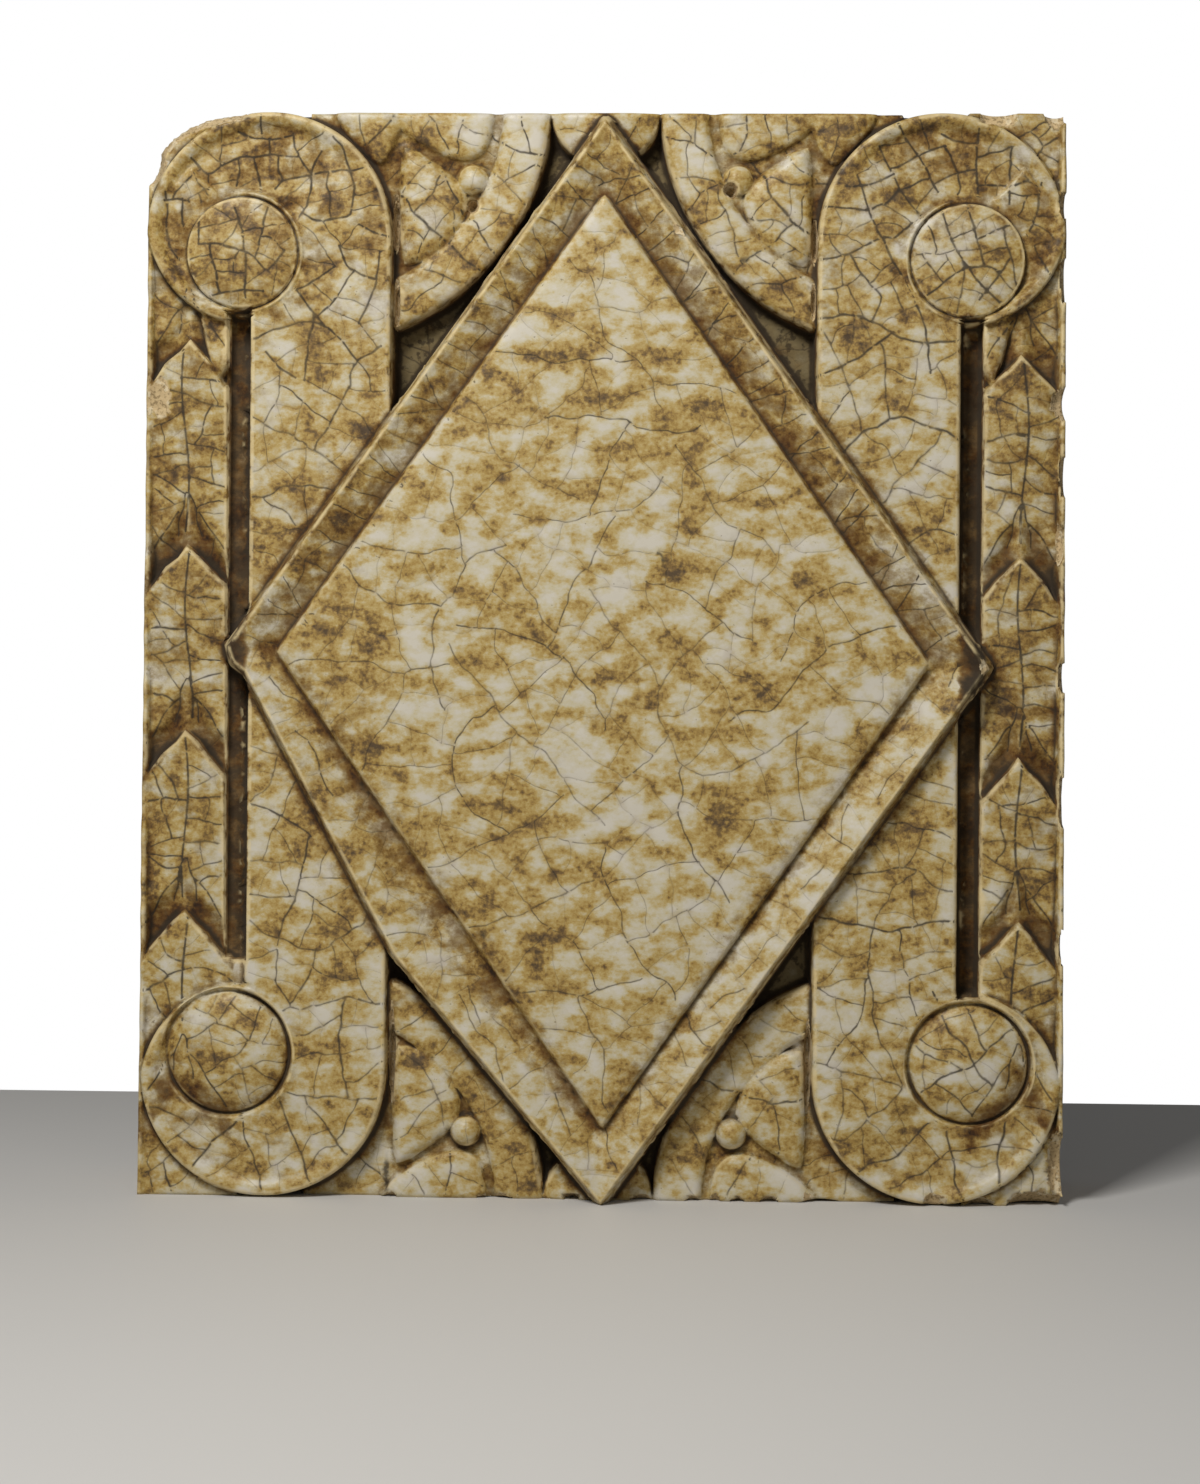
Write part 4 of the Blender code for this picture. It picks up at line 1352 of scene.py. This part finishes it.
# Triangles outside the edge can only lie close to it, so only those are tested
centres = front_places[np.array(triangles)].mean(1)
close_to_edge = ((np.abs(centres[:, 0]) > FOOT_HALF_WIDTH - 9)
                 | (np.abs(centres[:, 1] - HEIGHT / 2) > HEIGHT / 2 - 12)
                 | ((centres[:, 0] < -160) & (centres[:, 1] > 440)))
kept = np.ones(len(centres), bool)
kept[close_to_edge] = inside(*centres[close_to_edge].T, edge) > 0
front_faces = [tuple(face) for face, good in zip(triangles, kept) if good]
front_faces = [face if signed_area(front_places, face) > 0 else face[::-1] for face in front_faces]
dark, aside = np.zeros(len(front_places)), front_places.copy()
for number, sources in enumerate(origins):
    if sources:
        dark[number] = pattern.dark[sources[0]]
        aside[number] = pattern.aside[sources[0]]
# A stretch that only one triangle follows is part of the open border
follower = dict.fromkeys(pair for a, b, c in front_faces for pair in ((a, b), (b, c), (c, a)))
border = {first: second for first, second in follower if (second, first) not in follower}
loop = [next(iter(border))]
while border[loop[-1]] != loop[0]:
    loop.append(border[loop[-1]])
print("front:", len(front_places), "points", len(front_faces), "faces, border", len(loop),
      len(border))

# %% The surface of the front
CRACK_DEPTH = 0.14
pool_map = np.clip(0.35 * (near_blur - height_map), 0, 1.1)
sides_off = np.minimum(half_width - np.abs(mesh_x), np.minimum(mesh_z, HEIGHT - mesh_z))
arris_map = 0.9 * np.clip(1 - sides_off / 1.8, 0, 1) ** 2
x, z = front_places.T
rise, clay = front(x, z)
rise = rise + look_up(pool_map, x, z) * (1 - clay) - look_up(arris_map, x, z)
rise = np.minimum(rise - CRACK_DEPTH * dark * (1 - clay), RIDGE_RISE - 0.05)
front_points = np.stack([x, GROUND_Y - rise, z], 1)
print("front rises from", rise.min().round(1), "to", rise.max().round(1))

# %% Sides of the block
# Shares of the way from the front to the back at which the rows round the sides lie
SIDE_SHARES = (0.012, 0.04, 0.1, 0.25, 0.55, 0.985, 1.0)
BACK_ARRIS = 0.9
# The wavering front edge turns into the plain side over this share
SIDE_BLEND = 0.12


def back_plane(x, z):
    """The back with its keying grooves, a little uneven."""
    groove = np.zeros(len(x))
    for middle in GROOVES:
        beyond = (np.abs(z - middle) - GROOVE_HALF + GROOVE_SLOPE) / GROOVE_SLOPE
        groove = np.maximum(groove, 1 - np.clip(beyond, 0, 1))
    return BACK_Y - 0.15 - 0.15 * lumps(x, z, 21, 61) - GROOVE_DEPTH * groove


whole = np.array([whole_edge[origins[v][0]] if origins[v] and origins[v][0] < loop_count
                  else front_places[v] for v in loop])
torn = ((whole[:, 0] < BREAK_LINE[0][0] + 1) & (whole[:, 1] > BREAK_LINE[-1][1] - 8))[:, None]
for _ in range(12):
    calmer = (np.roll(whole, 1, axis=0) + np.roll(whole, -1, axis=0)) / 2
    whole = np.where(torn, (whole + calmer) / 2, whole)
around = front_places[loop]
run = np.roll(whole, -1, axis=0) - np.roll(whole, 1, axis=0)
outward = -left_of(run) / np.hypot(*run.T)[:, None]
flat_foot = whole[:, 1] < 0.01
start_y = front_points[loop, 1]
points, depth_in = [front_points], [np.zeros(len(front_points))]
for share in SIDE_SHARES:
    blend = ramp(share, 0, SIDE_BLEND)
    rough = 0.3 + 0.25 * lumps(whole.sum(1), np.full(len(whole), share * 83), 5, 62)
    inset = np.where(flat_foot, 0.02, rough * blend + 0.05) + (BACK_ARRIS if share == 1 else 0)
    place = around * (1 - blend) + whole * blend - outward * inset[:, None]
    place[:, 1] = np.clip(place[:, 1], 0.02, HEIGHT - 0.02)
    y = start_y + share * (back_plane(*place.T) - start_y)
    points.append(np.stack([place[:, 0], y, place[:, 1]], 1))
    depth_in.append(y - start_y)
faces = list(front_faces)
rows = [np.array(loop)] + [len(front_points) + k * len(loop) + np.arange(len(loop))
                           for k in range(len(SIDE_SHARES))]
for fore, aft in zip(rows, rows[1:]):
    fore_next, aft_next = np.roll(fore, -1), np.roll(aft, -1)
    faces += list(zip(fore.tolist(), aft.tolist(), aft_next.tolist(), fore_next.tolist()))
print("faces with the sides:", len(faces))

# %% Back of the block
# Half the width over which the back has points of its own, and their distance apart
BACK_REACH, BACK_STEP = 198, 12
# Depth behind the front that stands for the whole back in the material
FAR_BEHIND = 80.0
rim = points[-1][:, [0, 2]]
joins = [(n, (n + 1) % len(rim)) for n in range(len(rim))]
back_places = rim.tolist()
for stop in GROOVE_STOPS:
    ends = [n for n in range(len(rim)) if abs(rim[n, 1] - stop) < 0.08]
    chain = [min(ends, key=lambda n: rim[n, 0])]
    for x in range(-BACK_REACH, BACK_REACH + 1, BACK_STEP):
        chain.append(len(back_places))
        back_places.append([x, stop])
    chain.append(max(ends, key=lambda n: rim[n, 0]))
    joins += list(zip(chain, chain[1:]))
scatter = np.stack([axis.ravel() for axis in np.meshgrid(
    np.arange(-BACK_REACH, BACK_REACH + 1.0, BACK_STEP), np.arange(8, HEIGHT - 6, BACK_STEP))], 1)
off_grooves = np.abs(scatter[:, 1:] - np.array(GROOVES)).min(1) > GROOVE_HALF + 1
back_places += scatter[(inside(*scatter.T, rim) > 4) & off_grooves].tolist()
joined, _, triangles, origins, _, _ = delaunay_2d_cdt(
    [Vector(p) for p in back_places], joins, [], 0, 1e-6, True)
new_places = np.array([tuple(p) for p in joined])
# Points of the rim are there already, and the others are added behind them
number_of, extra = {}, []
for number, sources in enumerate(origins):
    first = min(sources) if sources else len(rim)
    if first < len(rim):
        number_of[number] = int(rows[-1][first])
    else:
        number_of[number] = sum(map(len, points)) + len(extra)
        extra.append(new_places[number])
extra = np.array(extra)
centres = new_places[np.array(triangles)].mean(1)
for face, depth in zip(triangles, inside(*centres.T, rim)):
    if depth > 0:
        if signed_area(new_places, face) > 0:
            face = face[::-1]
        faces.append(tuple(number_of[v] for v in face))
points.append(np.stack([extra[:, 0], back_plane(*extra.T), extra[:, 1]], 1))
depth_in.append(np.full(len(extra), FAR_BEHIND))
points, depth_in = np.concatenate(points), np.concatenate(depth_in)
edge_use = {}
for face in faces:
    for first, second in zip(face, face[1:] + face[:1]):
        key = (min(first, second), max(first, second))
        edge_use[key] = edge_use.get(key, 0) + 1
print("vertices:", len(points), "faces:", len(faces), "edges not in two faces:",
      sum(1 for use in edge_use.values() if use != 2))

# %% [markdown]
# The shader needs to know things about each place that it can't see from one point: how deep a
# hollow is, whether an edge sticks out and gets rubbed and a painted highlight, where a crack runs,
# which plate it is on. Each becomes a number stored on the vertices, and the material reads it back
# by name.

# %% Maps of hollows, walls and cracks
bare_ground_map = blurred((owner_map < 0).astype(float), 1.2)
hollow_map = np.clip((mid_blur - height_map) / 9, -1, 1)
broad_map = np.clip((wide_blur - height_map) / 14, -1, 1)
# How far a point lies below its close surroundings: the shader paints shade into the creases and a
# highlight onto the bumps between them
crevice_map = np.clip((near_blur - height_map) / 2.2, -1, 1)
halo_map = np.clip(blurred(crack_mask.astype(float), 1.5) * 5, 0, 1)


def highest(values, reach):
    """The highest value within reach millimetres across and up."""
    for axis in (0, 1):
        best = values.copy()
        for shift in range(1, round(reach / PITCH) + 1):
            for way in (shift, -shift):
                best = np.maximum(best, np.roll(values, way, axis))
        values = best
    return values


beside_map = blurred(np.clip((highest(height_map, 1.8) - height_map - 1) / 4, 0, 1), 0.7)
print("share of the grid beside a wall:", (beside_map > 0.5).mean().round(2))

# %% Where dirt and painted shade lie, and where ridges are rubbed and get painted highlights
field_depth = depth_map(FIELD_TIPS)
above_middle, right_half = mesh_z > RIDGE_TIPS[1][1], mesh_x > 0
# The border is darker on its upper sides, which face down away from the lamp, and on the right:
# painted shade with some dirt. On the lower sides the field's step, which faces down, gets painted
# shade.
border_shade_and_dirt = np.where(above_middle, 0.2 * ramp(ridge_depth, 1, 12) + 0.1 * right_half + 0.12,
                        np.where(right_half, 0.1, 0.16) * ramp(ridge_depth, 12, 18))
border_shade_and_dirt = border_shade_and_dirt * (ridge_depth > 0) * ramp(-field_depth, 0.2, 1.2)
field_step_shade = np.where(above_middle, 0, 0.2) * (1 - ramp(field_depth, 1, 10)) * (field_depth > 0)
# Darker in hollows and beside walls: dirt in the joints beside walls, and in the hollows dirt
# together with painted shade where shade falls
dirt_and_shade_map = (0.5 * beside_map + 0.4 * np.clip(hollow_map * 1.6, 0, 1)
             + 0.35 * np.clip(broad_map * 1.4, 0, 1) + border_shade_and_dirt + field_step_shade)
for side, tips in SCALE_TIPS.items():
    off = np.abs(mesh_x - side * SCALE_X)
    for tip in tips + (COLUMN_FOOT,):
        above = mesh_z - tip + off * SHOULDER_DROP / SCALE_HALF_WIDTH
        uneven = lumps(mesh_x, mesh_z, 6, 97) + 0.6 * lumps(mesh_x, mesh_z, 2.6, 98)
        nest = ramp(above, -0.6, 0.4) * (1 - ramp(above + 6 * uneven, 9, 22))
        nest = nest * (0.45 + 0.55 * ramp(off, 2, 6)) * (0.9 + 0.35 * uneven)
        dirt_and_shade_map += (0.1 if tip == tips[0] else 0.54) * nest * (off < SCALE_HALF_WIDTH + 3)
for x, z, radius in eyes:
    away = np.hypot(mesh_x - x, mesh_z - z) - radius
    # A darker ring of dirt round every eye, and painted shade on the lower right of each domed foot
    # eye, which turns away from the lamp
    dirt_and_shade_map += 0.12 * ramp(away, 0.5, 3) * (1 - ramp(away, 4, 11))
    lower_right_shade = ramp(mesh_x - x - mesh_z + z, 0.2 * radius, 1.3 * radius)
    dirt_and_shade_map += 0.3 * lower_right_shade * ramp(away, -10, -1) * (away < 0) * (z < HEIGHT / 2)
# Painted shade in each scroll's dish, on its side to the corner under the raised rim
for side, up, strength in ((1, 1, 0.14), (-1, 1, 0.1), (1, -1, 0.1), (-1, -1, 0.14)):
    across, along = side * mesh_x - SCROLL_X, (HEIGHT - mesh_z if up > 0 else mesh_z) - SCROLL_IN
    away = np.maximum(np.hypot(across, along), 1)
    dish_shade = ramp((across * 0.75 - along * 0.66) / away, -0.2, 0.6)
    dirt_and_shade_map += strength * dish_shade * ramp(away, 20, 32) * ramp(SCROLL_RADIUS - away, 5, 9)
# The slot floors are painted nearly black: painted shade down in the deep slots
for slot in slots:
    dirt_and_shade_map = np.where(depth_map(slot.outline) > 0, 1.12, dirt_and_shade_map)
dirt_and_shade_map *= 1 - 0.55 * ramp(np.abs(mesh_x), 163, 169) * ramp(mesh_z, 384, 396)
# Narrow ridges and arrises get a painted highlight, broken up by noise, along with their wear
crest_highlight_map = np.clip((height_map - blurred(height_map, 0.9)) / 0.55, 0, 1)
crest_highlight_map *= 0.35 + 0.65 * ramp(lumps(mesh_x, mesh_z, 11, 99), -0.4, 0.3)
print("grime:", dirt_and_shade_map[on_block].mean().round(2))

# %% Numbers for the material
def ageing(x, z):
    """How stained the glaze is: most at the head corners and down the sides."""
    corner = ramp(z, 320, 450) * ramp(np.abs(x), 0, 110)
    flank = ramp(np.abs(x), 158, 190) * ramp(z, 90, 190)
    left_band = 0.3 * ramp(x, -84, -108) * ramp(z, 120, 190)
    most = np.maximum(np.maximum(0.6 * corner, 0.6 * flank), left_band)
    return np.clip(most + 0.15 * lumps(x, z, 45, 71), 0, 1)


def marking(x, z):
    """How dark a mark is at each point."""
    dark_mark = np.zeros(len(x))
    for mx, mz, across, up in MARKS:
        away = np.hypot((x - mx) / across, (z - mz) / up) * (1 + 0.25 * lumps(x, z, 1.6, 81))
        dark_mark = np.maximum(dark_mark, 1 - ramp(away, 0.6, 1.15))
    return dark_mark


def arris_wear_and_highlight(x, z):
    """Lighter along the sides, from rubbing and a painted highlight, most on the right, and darker
    along the head.
    """
    side_edge = 1 - ramp(half_width_at(z) - np.abs(x), 0.7, 2.4)
    return (side_edge * np.where(x > 0, 1, 0.45) + 0.5 * (1 - ramp(z, 0.4, 2))
            - 1.2 * (1 - ramp(HEIGHT - z, 0.5, 1.6)))


def pad(values, fill=0.0):
    """Numbers for the front, followed by the same filler for the sides and the back."""
    return np.concatenate([values, np.full(len(points) - len(values), fill)])


x, z = front_places.T
numbers = {
    "crack": pad(dark),
    "tone": pad(tone_map[squares(*aside.T)]),
    "crevice": pad(look_up(crevice_map, x, z)),
    "ground": pad(look_up(bare_ground_map, x, z)),
    "clay": pad(clay),
    "behind": depth_in,
    "halo": pad(np.maximum(look_up(halo_map, x, z), dark * 0.8)),
    "age": pad(ageing(x, z)),
    "grime": pad(look_up(dirt_and_shade_map, x, z)),
    "mark": pad(marking(x, z)),
    "arris": pad(np.maximum(arris_wear_and_highlight(x, z), 0.5 * look_up(crest_highlight_map, x, z))),
}
print("numbers on each vertex:", sorted(numbers))

# %% The mesh and its place in the model
mesh = bpy.data.meshes.new("relief_tile")
mesh.from_pydata((points * MM).tolist(), [], faces)
for name, values in numbers.items():
    layer = mesh.attributes.new(name, "FLOAT", "POINT")
    layer.data.foreach_set("value", np.asarray(values, dtype=np.float32))
mesh.polygons.foreach_set("use_smooth", np.ones(len(mesh.polygons), bool))
mesh.validate()
relief_tile = placed("relief_tile", mesh)
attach(relief_tile, "root")
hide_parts("tile")
print("piece:", relief_tile.name, "with", len(mesh.polygons), "faces")

# %% [markdown]
# ## Shader maths as Python
# A material is a sum on a page: masks added, multiplied and mixed. Written with + and *, it
# stays readable, and each sign adds the Math node that does it.

# %% A wrapped socket
class Wire:
    """A value inside a material. Arithmetic on it adds Math nodes."""
    tree = None

    def __init__(self, socket):
        self.socket = socket

    @classmethod
    def node(cls, kind, settings=None, values=None, output=0):
        """Add a node: settings first, then values or wires for its sockets. Gives a wire
        from one of its outputs, or None from a node that has none."""
        node = cls.tree.nodes.new(kind)
        for key, value in (settings or {}).items():
            if key == "stops":
                ramp_stops = node.color_ramp.elements
                while len(ramp_stops) < len(value):
                    ramp_stops.new(1)
                for stop, (position, colour) in zip(ramp_stops, value):
                    stop.position, stop.color = position, colour
            else:
                setattr(node, key, value)
        for key, value in (values or {}).items():
            if isinstance(value, Wire):
                cls.tree.links.new(value.socket, node.inputs[key])
            else:
                node.inputs[key].default_value = value
        return cls(node.outputs[output]) if node.outputs else None

    @classmethod
    def start_tree(cls, owner):
        """Give a material or a world an empty node tree, to which new nodes go."""
        owner.use_nodes = True
        cls.tree = owner.node_tree
        cls.tree.nodes.clear()

    @staticmethod
    def maths(operation, first, second, clamp=False):
        """A Math node on two values or wires."""
        return Wire.node("ShaderNodeMath", {"operation": operation, "use_clamp": clamp},
                         {0: first, 1: second})

    def __add__(self, other):
        return Wire.maths("ADD", self, other)

    def __sub__(self, other):
        return Wire.maths("SUBTRACT", self, other)

    def __rsub__(self, other):
        return Wire.maths("SUBTRACT", other, self)

    def __mul__(self, other):
        return Wire.maths("MULTIPLY", self, other)

    __radd__, __rmul__ = __add__, __mul__

    def between(self, start, end):
        """0 at start, 1 at end and a soft step between them."""
        falls = float(start > end)
        return Wire.node("ShaderNodeMapRange", {"interpolation_type": "SMOOTHSTEP"},
                         {0: self, 1: min(start, end), 2: max(start, end), 3: falls, 4: 1 - falls})

    def clamped(self):
        """The value held between 0 and 1."""
        return Wire.maths("ADD", self, 0.0, clamp=True)


print("signs that add a node: + - *")

# %% Colours and noise
def paint(under, over, share):
    """One colour laid over another by a share from 0 to 1."""
    return Wire.node("ShaderNodeMix", {"data_type": "RGBA", "clamp_factor": True},
                     {0: share, 6: under, 7: over}, output=2)


def tinted(colour, glass, share):
    """A colour seen through a share of coloured glass, so that what is under it still shows."""
    product = Wire.node("ShaderNodeVectorMath", {"operation": "MULTIPLY"}, {0: colour, 1: glass})
    return paint(colour, product, share)


def number_on_mesh(name):
    """A number stored on the vertices."""
    return Wire.node("ShaderNodeAttribute", {"attribute_name": name}, output=2)


def rgb(red, green, blue):
    """A colour from screen values of 0 to 255, as the linear light that Blender works in."""
    return tuple(((v / 255 + 0.055) / 1.055) ** 2.4 if v > 10 else v / 3294
                 for v in (red, green, blue)) + (1.0,)


def mottle(size, stretch=(1, 1, 1), seed=0.0, detail=3.0, roughness=0.55, distortion=0.0):
    """Cloudy noise between about 0.2 and 0.8, with clouds of the given size in millimetres."""
    spread = tuple(1000 / size / s for s in stretch)
    place = Wire.node("ShaderNodeMapping", {}, {"Vector": where, "Scale": spread,
                                               "Location": (seed * 7.3, seed * 3.1, seed * 5.7)})
    return Wire.node("ShaderNodeTexNoise", {"noise_dimensions": "3D"},
                     {"Vector": place, "Scale": 1.0, "Detail": detail, "Roughness": roughness,
                      "Distortion": distortion})


print("white as linear light:", rgb(255, 255, 255))

# %% [markdown]
# ## Old crackle glaze
# The glaze is a cream majolica gone patchy. Under it iron has bloomed into ochre smudges with
# granular brown cores, dirt has filled the cracks and lies in the hollows, darkened further by
# painted shade, and rubbing has kept the ridges bright, helped by painted highlights. Each is one
# mask and one colour, laid on in the order they happened.

# %% Colours of glaze, dirt, painted shade and highlight, and clay
# From clean glaze to the dark heart of a stain
STAIN_STOPS = [(0.36, rgb(194, 187, 171)), (0.45, rgb(187, 176, 144)), (0.52, rgb(173, 149, 89)),
               (0.585, rgb(155, 125, 59)), (0.65, rgb(120, 93, 43)), (0.74, rgb(76, 57, 28))]
# The darkest brown serves soot, dark dirt and marks, and also painted shade in creases, hollows and
# slots
RUST, BROWN, SOOT_AND_SHADE = rgb(118, 86, 38), rgb(84, 65, 32), rgb(44, 34, 19)
OLIVE_GLASS, BROWN_GLASS = (0.5, 0.4, 0.23), (0.44, 0.3, 0.14)
# BRIGHT serves rubbed wear and painted highlights on ridges and edges
GREY_DIRT, CRACK_DARK, BRIGHT = rgb(104, 92, 64), rgb(46, 39, 28), rgb(210, 190, 142)
CLAY, CLAY_DARK, CLAY_PALE = rgb(190, 167, 126), rgb(146, 121, 82), rgb(214, 202, 172)
print("stops from clean to stained:", len(STAIN_STOPS))

# %% Stains in the glaze
material = bpy.data.materials.new("crackle_glaze")
Wire.start_tree(material)
where = Wire.node("ShaderNodeTexCoord", output=3)
crack, halo, tone, age, ground, crevice = map(
    number_on_mesh, ("crack", "halo", "tone", "age", "ground", "crevice"))
clay_bare, behind, grime, mark, arris = map(
    number_on_mesh, ("clay", "behind", "grime", "mark", "arris"))

blotch = mottle(10.5, (1.5, 1, 1), seed=3, detail=7.0, roughness=0.63)
clouds = mottle(34, (1.3, 1, 1), seed=1, detail=2.0)
grain = mottle(2.4, seed=4, detail=3.0, roughness=0.6) - 0.5
stain = blotch * 0.95 + clouds * 0.35 - 0.155 + tone * 0.01 + age * 0.06 + halo * 0.02
stain = stain + grain * (stain.between(0.47, 0.62) * 0.4 + 0.08)
colour = Wire.node("ShaderNodeValToRGB", {"stops": STAIN_STOPS}, {"Fac": stain})
ochre = stain.between(0.5, 0.62)
core = stain.between(0.62, 0.74)
speck = mottle(1.6, (1.3, 1, 1), seed=5, detail=2.0).between(0.7, 0.76)
colour = paint(colour, BROWN, speck * 0.55)
print("nodes for the stains:", len(Wire.tree.nodes))

# %% Dirt and painted shade, rubbing and painted highlights, cracks and marks
unevenness = mottle(8, (1.2, 1, 1), seed=6, detail=6.0, roughness=0.68) - 0.5
# Staining and the map of dirt and painted shade tint the glaze olive and brown, and near black
# where heaviest: dirt, and painted shade in hollows, slots and dishes.
dirt_and_shade_total = grime + age * 0.3
dirt_and_shade_film = dirt_and_shade_total + unevenness * (dirt_and_shade_total.between(0.0, 0.35) * 1.5 + 0.9)
colour = tinted(colour, OLIVE_GLASS, dirt_and_shade_film.between(0.05, 0.5) * 0.85)
colour = tinted(colour, BROWN_GLASS, dirt_and_shade_film.between(0.35, 0.9) * 0.9)
dirt = (ground * 0.9 + mottle(6, seed=7, detail=5.0, roughness=0.7) * 0.5 - 0.25).between(0.3, 0.9)
colour = paint(colour, GREY_DIRT, dirt * 0.85)
dark_dirt = dirt * mottle(4, seed=8, detail=4.0).between(0.5, 0.62)
colour = paint(colour, SOOT_AND_SHADE, dark_dirt * 0.75)
colour = paint(colour, SOOT_AND_SHADE, dirt_and_shade_film.between(0.8, 1.4) * 0.8)
# Painted shade in the creases
colour = paint(colour, SOOT_AND_SHADE, crevice.between(0.1, 0.6) * 0.85)
# Bumps between creases lighter: wear together with a painted highlight
rubbed_and_highlight = (0 - crevice).between(0.12, 0.5) * mottle(7, seed=9).between(0.4, 0.55)
colour = paint(colour, BRIGHT, rubbed_and_highlight * 0.6)
colour = paint(colour, RUST, halo.between(0.45, 1) * 0.22)
line = crack.between(0.04, 0.85) * (mottle(9, seed=10, detail=4.0).between(0.3, 0.6) * 0.25 + 0.75)
colour = paint(colour, CRACK_DARK, line * 0.92)
# Ridges and side edges lighter: wear together with a painted highlight, most on the right side
worn = arris.between(0.12, 0.6) * mottle(7, seed=18, detail=5.0).between(0.42, 0.56)
colour = paint(colour, BRIGHT, worn * 0.75)
colour = paint(colour, SOOT_AND_SHADE, ((0 - arris).between(0.2, 0.8) * 0.7 + mark * 0.85).clamped())
print("nodes with the dirt and the cracks:", len(Wire.tree.nodes))

# %% Bare clay
overrun = mottle(11, seed=11) * 14
body = (clay_bare.between(0.3, 0.7) + (behind - overrun).between(0.0, 2.5)).clamped()
smoked = mottle(26, seed=12, detail=6.0, roughness=0.6).between(0.4, 0.7)
clay_colour = paint(CLAY, CLAY_DARK, smoked * 0.6)
granular = mottle(1.3, seed=13, detail=3.0).between(0.5, 0.62) * (clay_bare * 0.45 + 0.1)
clay_colour = paint(clay_colour, BROWN, granular)
pale_spots = mottle(5, seed=19, detail=3.0).between(0.54, 0.62) * (clay_bare * 0.45 + 0.15)
clay_colour = paint(clay_colour, CLAY_PALE, pale_spots)
colour = paint(colour, clay_colour, body)
print("nodes with the clay:", len(Wire.tree.nodes))

# %% Gloss and fine relief
gloss = 0.5 + mottle(14, seed=14) * 0.16 + ochre * 0.08 + dirt * 0.3 + line * 0.2 + body * 0.5
gloss = gloss + dirt_and_shade_film.between(0.1, 0.8) * 0.3
fine = mottle(2.6, seed=15, detail=3.0) * 0.10 + mottle(9, seed=16) * 0.30
rough_ground = mottle(1.6, seed=17, detail=4.0) * (dirt * 0.9 + body * 1.1)
relief_height = fine + rough_ground - core * 0.12 - speck * 0.1
bump = Wire.node("ShaderNodeBump", {}, {"Strength": 1.0, "Distance": 0.00035,
                                        "Height": relief_height})
surface = Wire.node("ShaderNodeBsdfPrincipled", {}, {
    "Base Color": colour, "Roughness": gloss.clamped(), "Normal": bump, "IOR": 1.5,
    "Coat Weight": (1 - body) * (1 - dirt) * dirt_and_shade_film.between(0.5, 0.1) * 0.08, "Coat Roughness": 0.22})
Wire.node("ShaderNodeOutputMaterial", {}, {"Surface": surface})
mesh.materials.append(material)
print("nodes in the glaze:", len(Wire.tree.nodes))

# %% [markdown]
# ## Floor, light and camera
# The tile stands on a plain pale floor that runs off into white. A broad lamp above and a
# little to the left gives the shadows under the ridges, and a softer one in front opens them.

# %% Floor
def plain_material(name, colour, roughness):
    """A quiet one-colour material for what isn't the tile."""
    paper = bpy.data.materials.new(name)
    Wire.start_tree(paper)
    shader = Wire.node("ShaderNodeBsdfPrincipled", {}, {"Base Color": colour,
                                                        "Roughness": roughness})
    Wire.node("ShaderNodeOutputMaterial", {}, {"Surface": shader})
    return paper


floor_mesh = bpy.data.meshes.new("floor")
corners = [(-1.6, -1.3, 0), (1.6, -1.3, 0), (1.6, 0.32, 0), (-1.6, 0.32, 0)]
floor_mesh.from_pydata(corners, [], [(0, 1, 2, 3)])
floor = placed("floor", floor_mesh)
floor_mesh.materials.append(plain_material("pale_floor", (0.6, 0.59, 0.57, 1), 0.6))
print("floor in m:", [round(side, 2) for side in floor.dimensions])

# %% Lamps and surroundings
def lamp(name, place, aim, size, power, tint, mirrored_in_glaze=True):
    """A square soft lamp turned to a point, and whether the glaze mirrors it."""
    light = bpy.data.lights.new(name, "AREA")
    light.shape, light.size, light.energy, light.color = "SQUARE", size, power, tint
    holder = placed(name, light)
    holder.location = place
    holder.visible_glossy = mirrored_in_glaze
    holder.rotation_euler = (Vector(aim) - Vector(place)).to_track_quat("-Z", "Y").to_euler()


lamp("key", (-0.36, -1.0, 1.16), (0, 0, 0.25), 0.35, 17, (1, 0.985, 0.96))
lamp("fill", (0.5, -2.2, 0.7), (0, 0, 0.25), 1.6, 4, (1, 1, 1), False)
world = bpy.data.worlds.new("studio")
bpy.context.scene.world = world
Wire.start_tree(world)
seen = Wire.node("ShaderNodeLightPath")
sky = Wire.node("ShaderNodeBackground", {}, {"Color": (1, 1, 1, 1), "Strength": seen * 0.88 + 0.12})
Wire.node("ShaderNodeOutputWorld", {}, {"Surface": sky})
bpy.context.scene.view_settings.view_transform = "Standard"
print("lamps:", len(bpy.data.lights))

# %% Camera
# Solved from the four front corners of the block in the photograph: focal length and middle
# row in its pixels, place in metres, and turn and roll in degrees
IMAGE_HEIGHT, SENSOR_HEIGHT = 1484, 36
FOCAL_PIXELS, MIDDLE_ROW = 3300, 658.22
CAMERA_PLACE, CAMERA_TURN, CAMERA_ROLL = (0.0541736708, -1.53249484, 0.246649734), 2.0952, 0.45
camera = placed("camera", bpy.data.cameras.new("camera"))
camera.data.sensor_fit = "VERTICAL"
camera.data.sensor_height = SENSOR_HEIGHT
camera.data.lens = FOCAL_PIXELS * SENSOR_HEIGHT / IMAGE_HEIGHT
camera.data.shift_y = (MIDDLE_ROW - IMAGE_HEIGHT / 2) / IMAGE_HEIGHT
camera.matrix_world = (Matrix.Translation(CAMERA_PLACE)
                       @ Matrix.Rotation(math.radians(CAMERA_TURN), 4, "Z")
                       @ Matrix.Rotation(math.radians(90), 4, "X")
                       @ Matrix.Rotation(math.radians(CAMERA_ROLL), 4, "Z"))
bpy.context.scene.camera = camera
print("lens in mm:", round(camera.data.lens, 2))
